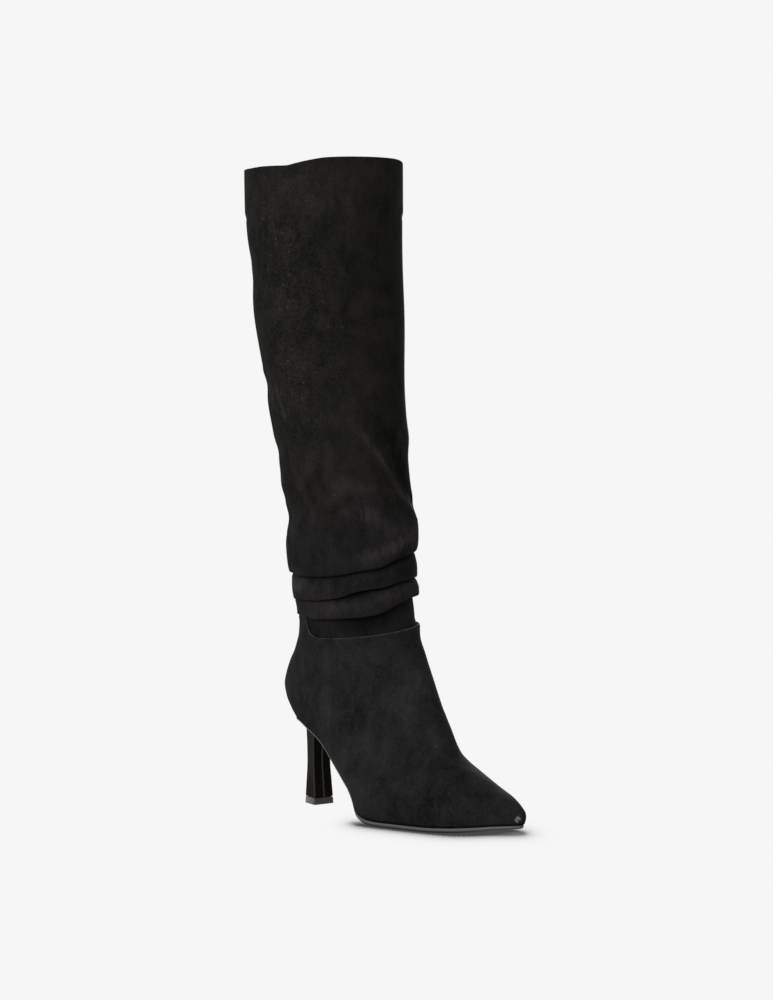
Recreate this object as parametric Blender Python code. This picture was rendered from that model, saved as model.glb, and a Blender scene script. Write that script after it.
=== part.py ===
"""Knee-high slouch boot for the right foot, with a pointed toe, a slim heel and a zip on the inner side.

Sizes are in millimetres and become metres in the meshes. The origin lies on the floor under the top
lift, 2 mm ahead of its middle, +Y points to the toe, +X to the outer side of the foot and +Z up.
"""

import bmesh
import bpy
import numpy as np
from mathutils import Matrix, Vector

MM = 0.001
FULL_TURN = 2 * np.pi

# Driving sizes
WALL = 1.8
FIT_GAP = 0.3
TUCK = WALL + FIT_GAP
LAP = TUCK + FIT_GAP
LAP_DEEPER = 0.5
INSOLE_THICK = 1.6
INSOLE_LIFT = 0.2
LIFT_THICK = 5.0
HEEL_CHAMFER = 1.1
COLUMNS = 48
UPPER_ROWS = 16
ROW_CROWDING = 1.6
SOLE_INSET = 1.4
SOLE_BEVEL_FROM = 0.6
STEEPEST = 2.5
HALVINGS = 40
ABOVE_FEATHER = 100.0

# Where the creases lie lowest, and how sharply they rise from there to the other side
CREASE_LOW_ANGLE = np.radians(60.0)
CREASE_POWER = 1.3

# Top edge of the upper: height at its lowest, its rise, and the tab that stands up at the back
SEAM_LOW = 128.0
SEAM_RISE = 11.0
TAB_LOW = 140.6
TAB_RISE = 13.5
TAB_LATERAL = np.radians((73.0, 88.0))
TAB_MEDIAL = np.radians((62.0, 75.0))

# Zip on the medial side
ZIP_ANGLE = np.radians(277.0)
ZIP_BOTTOM = 85.0
ZIP_TOP = 331.0
ZIP_WIDTH = 6.0
ZIP_CLEAR = 0.6
ZIP_THICK = 1.2
ZIP_ROWS = 34
ZIP_CALM = np.radians(13.0)
SLIDER_HEIGHT = 326.0
SLIDER_SIZE = (8.4, 2.0, 11.0)
EAR_SIZE = (1.2, 3.4, 3.2)
EAR_SPREAD = 3.2
HINGE_OUT = 6.0
HINGE_UP = 2.5
PIN_RADIUS = 0.5
PULL_WIDTH = 4.4
PULL_EYE = 0.85
PULL_RING = 1.5
PULL_HALF_THICK = 0.6
PULL_LENGTH = 21.0
ROUND_STEPS = 16


def table(columns, rows):
    """A table with named columns, one row for each section."""
    return dict(zip(columns.split(), np.array(rows, float).T))


# Side view at each height: back and front line, swing of the front to one side, and lean of the whole
PROFILE = table("height back front swing lean", [
    (0.0, -8.0, 206.0, -4.5, 0.0),
    (4.0, -8.0, 208.0, -4.5, 0.0),
    (8.6, -8.0, 213.0, -4.5, 0.0),
    (10.4, -8.0, 218.5, -4.5, 0.0),
    (12.4, -8.0, 222.0, -4.5, 0.0),
    (15.5, -8.0, 223.8, -4.5, 0.0),
    (18.0, -8.0, 223.2, -4.5, 0.0),
    (20.5, -8.0, 220.6, -4.5, 0.0),
    (26.0, -8.0, 211.6, -4.5, 0.0),
    (31.6, -8.0, 196.0, -4.5, 0.0),
    (39.6, -8.0, 174.6, -4.5, 0.0),
    (45.0, -8.0, 160.5, -4.5, 0.0),
    (50.0, -8.0, 151.0, -4.5, 0.0),
    (64.0, -8.0, 139.0, -4.5, 0.0),
    (73.5, -16.2, 133.2, -4.0, 0.0),
    (82.0, -22.5, 127.6, -4.0, 0.0),
    (91.0, -25.0, 123.0, -3.5, 0.0),
    (100.0, -22.0, 118.2, -3.0, 0.0),
    (109.0, -17.0, 113.0, -2.5, 0.0),
    (118.0, -10.5, 108.0, -1.5, 0.0),
    (129.0, -6.5, 102.0, 0.0, 0.0),
    (145.0, -7.0, 99.0, 0.0, 0.0),
    (163.0, -9.0, 96.0, 0.0, 1.0),
    (197.0, -11.0, 93.5, 0.0, 1.5),
    (224.0, -14.5, 91.0, 0.0, 2.0),
    (271.0, -23.5, 85.5, 0.0, 3.0),
    (315.0, -32.0, 80.0, 0.0, 4.0),
    (373.0, -41.0, 77.0, 0.0, 5.5),
    (446.0, -46.5, 75.5, 0.0, 7.0),
    (476.0, -47.0, 75.0, 0.0, 7.0),
])

# Stations along a level, as shares of the way from back to front
STATIONS = dict(back=0.0, seat=0.12, waist=0.30, joint=0.48, ball=0.62, toe=0.82, tip=1.0)

# Half width at the stations of each level, as if the level were an oval, on the outer and inner side
LATERAL = table("height back seat waist joint ball toe tip", [
    (0.0, 40.0, 36.0, 29.0, 39.5, 35.0, 26.5, 15.0),
    (12.0, 40.0, 36.0, 29.5, 41.0, 36.5, 28.5, 17.0),
    (30.0, 40.0, 36.0, 30.5, 40.5, 37.5, 32.0, 24.0),
    (50.0, 42.0, 39.5, 34.0, 39.0, 37.5, 34.0, 31.0),
    (64.0, 43.5, 42.0, 38.0, 39.0, 37.5, 35.0, 33.0),
    (80.0, 43.5, 41.5, 37.5, 38.0, 37.0, 35.5, 34.0),
    (95.0, 43.5, 41.0, 37.5, 38.0, 37.0, 36.0, 34.5),
    (110.0, 42.0, 40.0, 38.0, 38.0, 37.5, 36.5, 35.5),
    (129.0, 38.0, 38.0, 38.0, 38.0, 38.0, 38.0, 38.0),
])
MEDIAL = table("height back seat waist joint ball toe tip", [
    (0.0, 40.0, 38.0, 23.5, 32.0, 38.5, 27.0, 18.0),
    (12.0, 40.0, 38.0, 25.0, 34.0, 40.0, 29.0, 20.0),
    (30.0, 40.0, 38.0, 28.0, 36.0, 40.0, 33.0, 26.0),
    (50.0, 41.0, 38.5, 31.0, 38.0, 39.0, 35.0, 32.0),
    (64.0, 41.0, 39.0, 33.0, 38.0, 38.5, 36.0, 34.0),
    (80.0, 43.0, 41.0, 36.0, 38.0, 38.0, 36.0, 35.0),
    (95.0, 43.5, 41.0, 37.5, 38.0, 38.0, 36.5, 35.5),
    (110.0, 42.0, 40.0, 38.0, 38.0, 37.5, 36.5, 36.0),
    (129.0, 38.0, 38.0, 38.0, 38.0, 38.0, 38.0, 38.0),
])

# Growth of the half width up the leg, the same all round
LEG = table("height wider", [
    (129.0, 0.0),
    (163.0, 2.0),
    (224.0, 3.5),
    (271.0, 7.5),
    (315.0, 11.0),
    (373.0, 16.0),
    (446.0, 18.0),
    (476.0, 18.5),
])

# Feather line, where upper meets sole, in side view, with the thickness of the sole under it
FEATHER = table("forward height sole", [
    (-30.0, 67.4, 1.5),
    (-8.0, 67.4, 1.5),
    (12.0, 66.8, 1.5),
    (32.0, 60.6, 1.5),
    (50.0, 50.2, 1.7),
    (65.0, 35.4, 2.0),
    (76.0, 24.4, 2.4),
    (87.0, 14.8, 2.8),
    (95.0, 8.2, 3.1),
    (106.0, 4.3, 3.3),
    (116.0, 3.6, 3.3),
    (150.0, 3.6, 3.3),
    (170.0, 4.6, 3.3),
    (190.0, 6.3, 3.1),
    (206.0, 7.9, 2.6),
    (225.0, 9.4, 2.2),
])

# Levels up the shaft: lowest height, rise to the other side, and how far the wall stands out of the form
FOLDS = table("level rise out", [
    (119.0, 10.0, -LAP - LAP_DEEPER),
    (128.0, 11.0, -LAP),
    (141.2, 13.5, -LAP),
    (142.8, 14.0, -0.6),
    (147.0, 14.5, 0.6),
    (153.5, 15.0, -1.6),
    (156.0, 15.0, 0.8),
    (162.0, 15.5, 1.6),
    (171.0, 16.0, -0.8),
    (173.8, 16.0, 2.4),
    (181.0, 15.0, 3.4),
    (196.0, 12.0, 1.8),
    (222.0, 8.0, 0.4),
    (250.0, 5.0, 0.0),
    (290.0, 3.0, 0.0),
    (345.0, 1.0, 0.0),
    (410.0, 0.5, 0.0),
    (474.0, 0.0, 0.0),
])
ROWS_BETWEEN_LEVELS = 2

# Heel: middle of the section, half width at the breast and at the back, half depth
HEEL = table("height middle breast back depth", [
    (0.0, -2.0, 9.2, 6.6, 7.7),
    (5.0, -2.1, 9.0, 6.4, 7.5),
    (16.0, -2.3, 8.7, 6.1, 6.7),
    (32.0, -2.7, 8.4, 5.6, 5.7),
    (46.0, -2.7, 8.7, 5.8, 5.8),
    (55.0, -2.5, 9.1, 6.2, 6.2),
    (66.0, -2.1, 9.8, 6.8, 6.7),
])
HEEL_ROWS = 9

FINISHES = table("red green blue roughness metallic", [
    (0.030, 0.029, 0.031, 0.90, 0.0),
    (0.012, 0.012, 0.013, 0.15, 0.0),
    (0.300, 0.290, 0.280, 0.60, 0.0),
    (0.080, 0.075, 0.070, 0.70, 0.0),
    (0.020, 0.020, 0.021, 0.45, 0.0),
    (0.250, 0.250, 0.260, 0.30, 1.0),
])
FINISH_NAMES = ("suede", "gloss_heel", "grey_rubber", "lining", "zip_nylon", "dark_metal")


def smooth(at, xs, ys):
    """Monotone cubic through the points (xs, ys), read at each value of at."""
    at = np.clip(np.asarray(at, float), xs[0], xs[-1])
    ys = np.broadcast_to(ys, at.shape + (len(xs),))
    step = np.diff(xs)
    slope = np.diff(ys, axis=-1) / step
    left, right = slope[..., :-1], slope[..., 1:]
    same = left * right > 0
    one, two = 2 * step[1:] + step[:-1], step[1:] + 2 * step[:-1]
    mean = (one + two) / (one / np.where(same, left, 1.0) + two / np.where(same, right, 1.0))
    tangent = np.concatenate([slope[..., :1], np.where(same, mean, 0.0), slope[..., -1:]], -1)
    cell = np.clip(np.searchsorted(xs, at, side="right") - 1, 0, len(xs) - 2)

    def pick(values, shift):
        return np.take_along_axis(values, (cell + shift)[..., None], -1)[..., 0]

    t = (at - xs[cell]) / step[cell]
    low = (1 + 2 * t) * (1 - t) ** 2 * pick(ys, 0) + t * (1 - t) ** 2 * step[cell] * pick(tangent, 0)
    high = t * t * (3 - 2 * t) * pick(ys, 1) + t * t * (t - 1) * step[cell] * pick(tangent, 1)
    return low + high


def read(source, name, at):
    """One column of a table, read along the table's first column."""
    first = next(iter(source))
    return smooth(at, source[first], source[name])


def ease(value, start, end):
    """Smooth step from 0 at start to 1 at end."""
    t = np.clip((value - start) / (end - start), 0, 1)
    return t * t * (3 - 2 * t)


def half_width(share, height, side):
    """Half width at a share of the way from back to front, from the table of one side."""
    rows = np.stack([read(side, name, height) for name in STATIONS], -1)
    return smooth(share, np.array(list(STATIONS.values())), rows) + read(LEG, "wider", height)


def edge_of_level(name, height, depth):
    """Back or front line at a depth inside the form, square to the line's slope."""
    probe = 0.5
    slope = (read(PROFILE, name, height + probe) - read(PROFILE, name, height - probe)) / (2 * probe)
    inward = 1.0 if name == "back" else -1.0
    return read(PROFILE, name, height) + inward * depth * np.minimum(np.hypot(1.0, slope), STEEPEST)


def skin(angle, height, depth=0.0):
    """Point of the form at an angle from the back and a height, moved inwards by depth."""
    angle, height, depth = np.broadcast_arrays(np.mod(angle, FULL_TURN), height, depth)
    back = edge_of_level("back", height, depth)
    front = edge_of_level("front", height, depth)
    share = (1 - np.cos(angle)) / 2
    outer = half_width(share, height, LATERAL)
    inner = half_width(share, height, MEDIAL)
    full = np.where(angle <= np.pi, outer, inner) - depth
    x = read(PROFILE, "lean", height) + read(PROFILE, "swing", height) * share ** 2 + full * np.sin(angle)
    y = back + share * (front - back)
    return np.stack([x, y, np.asarray(height, float)], -1)


def feather_height(angle, depth):
    """Height where the form at this depth meets the feather line, found by halving."""
    low, high = np.zeros_like(angle), np.full_like(angle, ABOVE_FEATHER)
    for _ in range(HALVINGS):
        middle = (low + high) / 2
        over = middle > read(FEATHER, "height", skin(angle, middle, depth)[..., 1])
        high = np.where(over, middle, high)
        low = np.where(over, low, middle)
    return high


def crease_wave(angle):
    """0 on the outer side behind the ankle, where creases lie lowest, to 1 on the opposite side."""
    return ((1 - np.cos(angle - CREASE_LOW_ANGLE)) / 2) ** CREASE_POWER


def seam_height(angle):
    """Top edge of the upper, with the tab up the back that ends under the lowest roll."""
    wave = crease_wave(angle)
    edge = SEAM_LOW + SEAM_RISE * wave
    tab = TAB_LOW + TAB_RISE * wave
    from_back = np.minimum(angle, FULL_TURN - angle)
    outer = 1 - ease(from_back, *TAB_LATERAL)
    inner = 1 - ease(from_back, *TAB_MEDIAL)
    return edge + (tab - edge) * np.where(angle <= np.pi, outer, inner)


def ring_angles():
    """Angles of the columns round the boot, from the back."""
    return np.linspace(0.0, FULL_TURN, COLUMNS, endpoint=False)


def upper_wall(depth):
    """Grid of the upper from the feather line to its top edge, at a depth in its wall."""
    angle = ring_angles()
    low = feather_height(angle, depth)
    climb = np.linspace(0.0, 1.0, UPPER_ROWS)[:, None] ** ROW_CROWDING
    height = low + (seam_height(angle) - low) * climb
    return skin(angle, height, depth)


def shaft_wall(depth):
    """Grid of the shaft from its tucked bottom edge to the collar, at a depth in its wall."""
    angle = ring_angles()
    marks = FOLDS["level"]
    spread = np.linspace(0.0, len(marks) - 1.0, (len(marks) - 1) * ROWS_BETWEEN_LEVELS + 1)
    level = np.interp(spread, np.arange(len(marks)), marks)[:, None]
    height = level + read(FOLDS, "rise", level) * crease_wave(angle)
    out = read(FOLDS, "out", level)
    calm = 1 - np.exp(-((angle - ZIP_ANGLE) / ZIP_CALM) ** 2)
    out = np.where(out > 0, out * calm, out)
    return skin(angle, height, depth - out)


def loop_faces(rows, columns):
    """Quads of a grid that closes on itself along its columns."""
    row, column = np.meshgrid(np.arange(rows - 1), np.arange(columns), indexing="ij")
    following = (column + 1) % columns
    low, high = row * columns, (row + 1) * columns
    corners = (low + column, low + following, high + following, high + column)
    return np.stack(corners, -1).reshape(-1, 4)


def cross_faces(columns):
    """Faces across a loop, in strips between a column and its twin on the other side."""
    half = columns // 2
    strips = [(k, k + 1, columns - k - 1, columns - k) for k in range(1, half - 1)]
    return [(0, 1, columns - 1)] + strips + [(half - 1, half, half + 1)]


def make(name, points, faces, finish, sharp=35.0):
    """Object from points in millimetres, with its faces turned outwards."""
    mesh = bpy.data.meshes.new(name)
    mesh.from_pydata(np.asarray(points) * MM, [], [tuple(int(i) for i in face) for face in faces])
    work = bmesh.new()
    work.from_mesh(mesh)
    bmesh.ops.recalc_face_normals(work, faces=work.faces)
    work.to_mesh(mesh)
    work.free()
    mesh.shade_smooth()
    mesh.set_sharp_from_angle(angle=np.radians(sharp))
    mesh.materials.append(finish)
    thing = bpy.data.objects.new(name, mesh)
    bpy.context.collection.objects.link(thing)
    return thing


def make_wall(name, outer, inner, finish):
    """Hollow wall between two grids, closed by a rim at each end."""
    rows, columns = outer.shape[:2]
    count = rows * columns
    side = loop_faces(rows, columns)
    first = np.arange(columns)
    following = (first + 1) % columns
    rims = [np.stack([edge + first, edge + following, count + edge + following, count + edge + first], -1)
            for edge in (0, (rows - 1) * columns)]
    faces = np.concatenate([side, side + count] + rims)
    return make(name, np.concatenate([outer.reshape(-1, 3), inner.reshape(-1, 3)]), faces, finish)


def make_slab(name, loops, finish):
    """Solid through stacked loops, closed below and above by strips from side to side."""
    rows, columns = loops.shape[:2]
    sides = [tuple(face) for face in loop_faces(rows, columns)]
    below = cross_faces(columns)
    above = [tuple(i + (rows - 1) * columns for i in face) for face in below]
    return make(name, loops.reshape(-1, 3), sides + below + above, finish)


def make_stack(name, rings, finish):
    """Solid through stacked rings with a flat polygon at each end."""
    rows, columns = rings.shape[:2]
    sides = [tuple(face) for face in loop_faces(rows, columns)]
    ends = [tuple(range(columns)), tuple(range((rows - 1) * columns, rows * columns))]
    return make(name, rings.reshape(-1, 3), sides + ends, finish)


def finish_named(name):
    """Principled material with the colour, roughness and metallic value of one finish."""
    row = {key: values[FINISH_NAMES.index(name)] for key, values in FINISHES.items()}
    material = bpy.data.materials.new(name)
    material.use_nodes = True
    shader = material.node_tree.nodes["Principled BSDF"]
    shader.inputs["Base Color"].default_value = (row["red"], row["green"], row["blue"], 1.0)
    shader.inputs["Roughness"].default_value = row["roughness"]
    shader.inputs["Metallic"].default_value = row["metallic"]
    return material


def sole_loop(depth, share_of_thickness):
    """Outline of the sole at a depth inside the feather line and a share of the way down its thickness."""
    angle = ring_angles()
    points = skin(angle, feather_height(angle, 0.0), depth)
    top = read(FEATHER, "height", points[:, 1]) - FIT_GAP
    points[:, 2] = top - share_of_thickness * read(FEATHER, "sole", points[:, 1])
    return points


def insole_loop(lift):
    """Outline of the insole inside the upper's wall, lifted off the sole."""
    angle = ring_angles()
    points = skin(angle, feather_height(angle, TUCK), TUCK)
    points[:, 2] = read(FEATHER, "height", points[:, 1]) + lift
    return points


def heel_ring(height):
    """Section of the heel: a trapezium, wider at the breast, with chamfered corners."""
    names = ("middle", "breast", "back", "depth")
    middle, breast, back, depth = (float(read(HEEL, name, height)) for name in names)
    cut = HEEL_CHAMFER
    half = [(back - cut, -depth), (back, -depth + cut), (breast, depth - cut), (breast - cut, depth)]
    outline = half + [(-x, y) for x, y in reversed(half)]
    return np.array([(x, middle + y, height) for x, y in outline])


def sole_underside(forward):
    """Height of the sole's underside at a distance forward."""
    return read(FEATHER, "height", forward) - FIT_GAP - read(FEATHER, "sole", forward)


def heel_rings():
    """Rings of the heel from the top lift up to the underside of the sole."""
    top = HEEL["height"][-1]
    rings = np.stack([heel_ring(h) for h in np.linspace(LIFT_THICK + FIT_GAP, top, HEEL_ROWS)])
    rings[-1, :, 2] = sole_underside(rings[-1, :, 1]) - FIT_GAP
    return rings


def zip_rings():
    """Rings of the zip chain: a flat strip that follows the form up the medial side."""
    height = np.linspace(ZIP_BOTTOM, ZIP_TOP, ZIP_ROWS)
    reach = half_width(np.full_like(height, 0.5), height, MEDIAL)
    half_angle = ZIP_WIDTH / 2 / reach
    near, far = -ZIP_CLEAR, -ZIP_CLEAR - ZIP_THICK
    corners = [(-1, near), (1, near), (1, far), (-1, far)]
    return np.stack([skin(ZIP_ANGLE + sign * half_angle, height, depth) for sign, depth in corners], 1)


def zip_frame():
    """Place of the slider: point on the form, and axes forward along it, outwards and up along it."""
    turn, rise = 0.02, 2.0
    point = skin(ZIP_ANGLE, SLIDER_HEIGHT)
    up = Vector(skin(ZIP_ANGLE, SLIDER_HEIGHT + rise) - skin(ZIP_ANGLE, SLIDER_HEIGHT - rise)).normalized()
    along = Vector(skin(ZIP_ANGLE - turn, SLIDER_HEIGHT) - skin(ZIP_ANGLE + turn, SLIDER_HEIGHT))
    along.z = 0.0
    along.normalize()
    out = up.cross(along).normalized()
    return Vector(point), along, out, out.cross(along) * -1.0


def placed(origin, along, out, up):
    """Matrix of a piece whose own axes are along, out and up."""
    matrix = Matrix((along, out, up)).transposed().to_4x4()
    matrix.translation = origin * MM
    return matrix


def box_into(work, size, centre):
    """Box of a size in millimetres added to a bmesh."""
    matrix = Matrix.Translation(Vector(centre) * MM) @ Matrix.Diagonal((*(Vector(size) * MM), 1.0))
    bmesh.ops.create_cube(work, size=1.0, matrix=matrix)


def make_slider(frame, finish):
    """Slider: a plate over the chain, two ears and the pin between them, joined as one solid."""
    plate_out = ZIP_CLEAR + ZIP_THICK + FIT_GAP
    width, thick, long = SLIDER_SIZE
    ear_out = plate_out + thick + EAR_SIZE[1] / 2 - FIT_GAP
    pieces = [((width, thick, long), (0.0, plate_out + thick / 2, 0.0))]
    pieces += [(EAR_SIZE, (side * EAR_SPREAD, ear_out, HINGE_UP)) for side in (-1, 1)]
    pieces += [((2 * EAR_SPREAD, 2 * PIN_RADIUS, 2 * PIN_RADIUS), (0.0, HINGE_OUT, HINGE_UP))]
    things = []
    for number, (size, centre) in enumerate(pieces):
        mesh = bpy.data.meshes.new(f"slider_piece_{number}")
        work = bmesh.new()
        box_into(work, size, centre)
        work.to_mesh(mesh)
        work.free()
        things.append(bpy.data.objects.new("zip_slider" if number == 0 else mesh.name, mesh))
        bpy.context.collection.objects.link(things[-1])
        things[-1].matrix_world = placed(*frame)
    slider = things[0]
    slider.data.materials.append(finish)
    for other in things[1:]:
        other.hide_render = True
        other.display_type = "WIRE"
        union = slider.modifiers.new(other.name, "BOOLEAN")
        union.operation = "UNION"
        union.object = other
    return slider


def pull_outline():
    """Eye and outline of the pull tab, seen along its hinge: a ring with a flat tail hanging from it."""
    turn = np.linspace(0.0, FULL_TURN, ROUND_STEPS, endpoint=False) - np.pi / 2
    eye = PULL_EYE * np.stack([np.cos(turn), np.sin(turn)], -1)
    outline = PULL_RING * np.stack([np.cos(turn), np.sin(turn)], -1)
    outline[0] = (0.0, -PULL_LENGTH)
    outline[1] = (PULL_HALF_THICK, -PULL_LENGTH + PULL_HALF_THICK)
    outline[-1] = (-PULL_HALF_THICK, -PULL_LENGTH + PULL_HALF_THICK)
    outline[2] = (PULL_HALF_THICK, -PULL_RING)
    outline[-2] = (-PULL_HALF_THICK, -PULL_RING)
    return eye, outline


def make_pull(frame, finish):
    """Pull tab, hanging straight down from the slider's pin, with its origin on the hinge."""
    point, along, out, up = frame
    eye, outline = pull_outline()
    loops = []
    for flat, side in ((eye, -1), (outline, -1), (outline, 1), (eye, 1)):
        loops.append(np.column_stack([np.full(ROUND_STEPS, side * PULL_WIDTH / 2), flat]))
    loops.append(loops[0])
    points = np.concatenate(loops[:-1])
    faces = loop_faces(len(loops), ROUND_STEPS) % len(points)
    pull = make("zip_pull", points, faces, finish)
    hinge = point + out * HINGE_OUT + up * HINGE_UP
    upright = Vector((0.0, 0.0, 1.0))
    pull.matrix_world = placed(hinge, along, upright.cross(along), upright)
    return pull


def build():
    """All the pieces of the boot."""
    for thing in list(bpy.data.objects):
        bpy.data.objects.remove(thing)
    finishes = {name: finish_named(name) for name in FINISH_NAMES}
    sole = np.stack([sole_loop(SOLE_INSET, 1.0), sole_loop(0.0, SOLE_BEVEL_FROM), sole_loop(0.0, 0.0)])
    make_slab("outsole", sole, finishes["grey_rubber"])
    lift = np.stack([heel_ring(0.0), heel_ring(LIFT_THICK)])
    make_stack("top_lift", lift, finishes["grey_rubber"])
    make_stack("heel", heel_rings(), finishes["gloss_heel"])
    insole = np.stack([insole_loop(INSOLE_LIFT), insole_loop(INSOLE_LIFT + INSOLE_THICK)])
    make_slab("insole", insole, finishes["lining"])
    make_wall("upper", upper_wall(0.0), upper_wall(WALL), finishes["suede"])
    make_wall("shaft", shaft_wall(0.0), shaft_wall(WALL), finishes["suede"])
    make_stack("zip_chain", zip_rings(), finishes["zip_nylon"])
    frame = zip_frame()
    make_slider(frame, finishes["dark_metal"])
    make_pull(frame, finishes["dark_metal"])


build()
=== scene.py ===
"""Knee-high suede slouch boot for the right foot: its visible surfaces, a plain stage and a camera.

Shapes are worked out in millimetres and become metres in the meshes. The origin is on the floor under the top
lift, 2 mm ahead of its middle. +Y points to the toe, +X to the outer side of the foot and +Z up. Angles round
the boot are measured from the back, by way of the outer side: that side is at 90 degrees, the front at 180.
"""

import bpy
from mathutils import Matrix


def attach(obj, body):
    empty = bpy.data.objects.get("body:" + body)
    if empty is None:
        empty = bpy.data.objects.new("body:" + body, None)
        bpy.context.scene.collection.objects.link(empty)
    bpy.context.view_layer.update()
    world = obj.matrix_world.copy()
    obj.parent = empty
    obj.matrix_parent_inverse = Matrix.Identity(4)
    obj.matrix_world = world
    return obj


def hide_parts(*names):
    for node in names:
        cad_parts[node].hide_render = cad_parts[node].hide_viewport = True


bl_info = {
    "name": "Suede Slouch Boot",
    "version": (1, 0, 0),
    "blender": (4, 5, 0),
    "location": "View3D > Sidebar > Boot",
    "description": "Dresses the solids of a knee-high slouch boot in suede, rubber, lacquer and metal",
    "category": "Object",
}

import bpy
import numpy as np
from mathutils import Euler

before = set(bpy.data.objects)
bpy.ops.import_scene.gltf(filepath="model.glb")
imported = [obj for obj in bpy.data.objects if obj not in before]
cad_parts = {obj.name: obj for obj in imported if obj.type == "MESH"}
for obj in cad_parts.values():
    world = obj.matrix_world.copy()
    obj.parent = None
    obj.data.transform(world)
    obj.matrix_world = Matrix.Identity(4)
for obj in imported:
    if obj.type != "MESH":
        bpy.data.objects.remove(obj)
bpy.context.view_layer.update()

MM = 0.001
FULL_TURN = 2 * np.pi


def linear(hex_colour):
    """Linear RGBA of an sRGB hex colour: the sRGB curve of each channel undone."""
    channels = np.array([int(hex_colour[i:i + 2], 16) for i in (1, 3, 5)]) / 255
    curve = np.where(channels <= 0.04045, channels / 12.92, ((channels + 0.055) / 1.055) ** 2.4)
    return (*(float(channel) for channel in curve), 1.0)


def table(columns, rows):
    """A table with named columns, one row for each section."""
    return dict(zip(columns.split(), np.array(rows, float).T))


# Side view at each height: back and front line, swing of the front to one side, and lean of the whole
PROFILE = table("height back front swing lean", [
    (0.0, -8.0, 212.5, -4.5, 0.0),
    (4.0, -8.0, 215.5, -4.5, 0.0),
    (8.6, -8.0, 219.8, -4.5, 0.0),
    (10.4, -8.0, 221.9, -4.5, 0.0),
    (12.4, -8.0, 223.1, -4.5, 0.0),
    (15.5, -8.0, 223.8, -4.5, 0.0),
    (18.0, -8.0, 223.2, -4.5, 0.0),
    (20.5, -8.0, 220.6, -4.5, 0.0),
    (26.0, -8.0, 211.6, -4.5, 0.0),
    (31.6, -8.0, 196.0, -4.5, 0.0),
    (39.6, -8.0, 174.6, -4.5, 0.0),
    (45.0, -8.0, 160.5, -4.5, 0.0),
    (50.0, -8.0, 151.0, -4.5, 0.0),
    (64.0, -8.0, 139.0, -4.5, 0.0),
    (73.5, -16.2, 133.2, -4.0, 0.0),
    (82.0, -22.5, 127.6, -4.0, 0.0),
    (91.0, -25.0, 123.0, -3.5, 0.0),
    (100.0, -22.0, 118.2, -3.0, 0.0),
    (109.0, -17.0, 113.0, -2.5, 0.0),
    (118.0, -10.5, 108.0, -1.5, 0.0),
    (129.0, -6.5, 102.0, 0.0, 0.0),
    (145.0, -7.0, 99.0, 0.0, 0.0),
    (163.0, -9.0, 96.0, 0.0, 1.0),
    (197.0, -11.0, 93.5, 0.0, 1.5),
    (224.0, -14.5, 91.0, 0.0, 2.0),
    (271.0, -23.5, 85.5, 0.0, 3.0),
    (315.0, -32.0, 80.0, 0.0, 4.0),
    (373.0, -41.0, 77.0, 0.0, 5.5),
    (446.0, -46.5, 75.5, 0.0, 7.0),
    (476.0, -47.0, 75.0, 0.0, 7.0),
])

# Stations along a level, as shares of the way from back to front
STATIONS = dict(back=0.0, seat=0.12, waist=0.30, joint=0.48, ball=0.62, toe=0.82, tip=1.0)

# Half width at the stations of each level, as if the level were an oval, on the outer and inner side
LATERAL = table("height back seat waist joint ball toe tip", [
    (0.0, 40.0, 36.0, 29.0, 39.5, 35.0, 26.5, 15.0),
    (12.0, 40.0, 36.0, 29.5, 41.0, 36.5, 28.5, 17.0),
    (30.0, 40.0, 36.0, 30.5, 40.5, 37.5, 32.0, 24.0),
    (50.0, 42.0, 39.5, 34.0, 39.0, 37.5, 34.0, 31.0),
    (64.0, 43.5, 42.0, 38.0, 39.0, 37.5, 35.0, 33.0),
    (80.0, 43.5, 41.5, 37.5, 38.0, 37.0, 35.5, 34.0),
    (95.0, 43.5, 41.0, 37.5, 38.0, 37.0, 36.0, 34.5),
    (110.0, 42.0, 40.0, 38.0, 38.0, 37.5, 36.5, 35.5),
    (129.0, 38.0, 38.0, 38.0, 38.0, 38.0, 38.0, 38.0),
])
MEDIAL = table("height back seat waist joint ball toe tip", [
    (0.0, 40.0, 38.0, 23.5, 32.0, 38.5, 27.0, 18.0),
    (12.0, 40.0, 38.0, 25.0, 34.0, 40.0, 29.0, 20.0),
    (30.0, 40.0, 38.0, 28.0, 36.0, 40.0, 33.0, 26.0),
    (50.0, 41.0, 38.5, 31.0, 38.0, 39.0, 35.0, 32.0),
    (64.0, 41.0, 39.0, 33.0, 38.0, 38.5, 36.0, 34.0),
    (80.0, 43.0, 41.0, 36.0, 38.0, 38.0, 36.0, 35.0),
    (95.0, 43.5, 41.0, 37.5, 38.0, 38.0, 36.5, 35.5),
    (110.0, 42.0, 40.0, 38.0, 38.0, 37.5, 36.5, 36.0),
    (129.0, 38.0, 38.0, 38.0, 38.0, 38.0, 38.0, 38.0),
])

# Growth of the half width up the leg, the same all round
LEG = table("height wider", [
    (129.0, 0.0),
    (163.0, 2.0),
    (224.0, 3.5),
    (271.0, 7.5),
    (315.0, 11.0),
    (373.0, 16.0),
    (446.0, 18.0),
    (476.0, 18.5),
])

# Feather line, where upper meets sole, in side view, with the thickness of the sole under it
FEATHER = table("forward height sole", [
    (-30.0, 67.4, 1.5),
    (-8.0, 67.4, 1.5),
    (12.0, 66.8, 1.5),
    (32.0, 60.6, 1.5),
    (50.0, 50.2, 1.7),
    (65.0, 35.4, 2.0),
    (76.0, 24.4, 2.4),
    (87.0, 14.8, 2.8),
    (95.0, 8.2, 3.1),
    (106.0, 4.3, 3.3),
    (116.0, 3.6, 3.3),
    (150.0, 3.6, 3.3),
    (170.0, 4.6, 3.3),
    (190.0, 6.8, 3.1),
    (206.0, 9.0, 2.6),
    (225.0, 11.0, 2.2),
])

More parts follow.
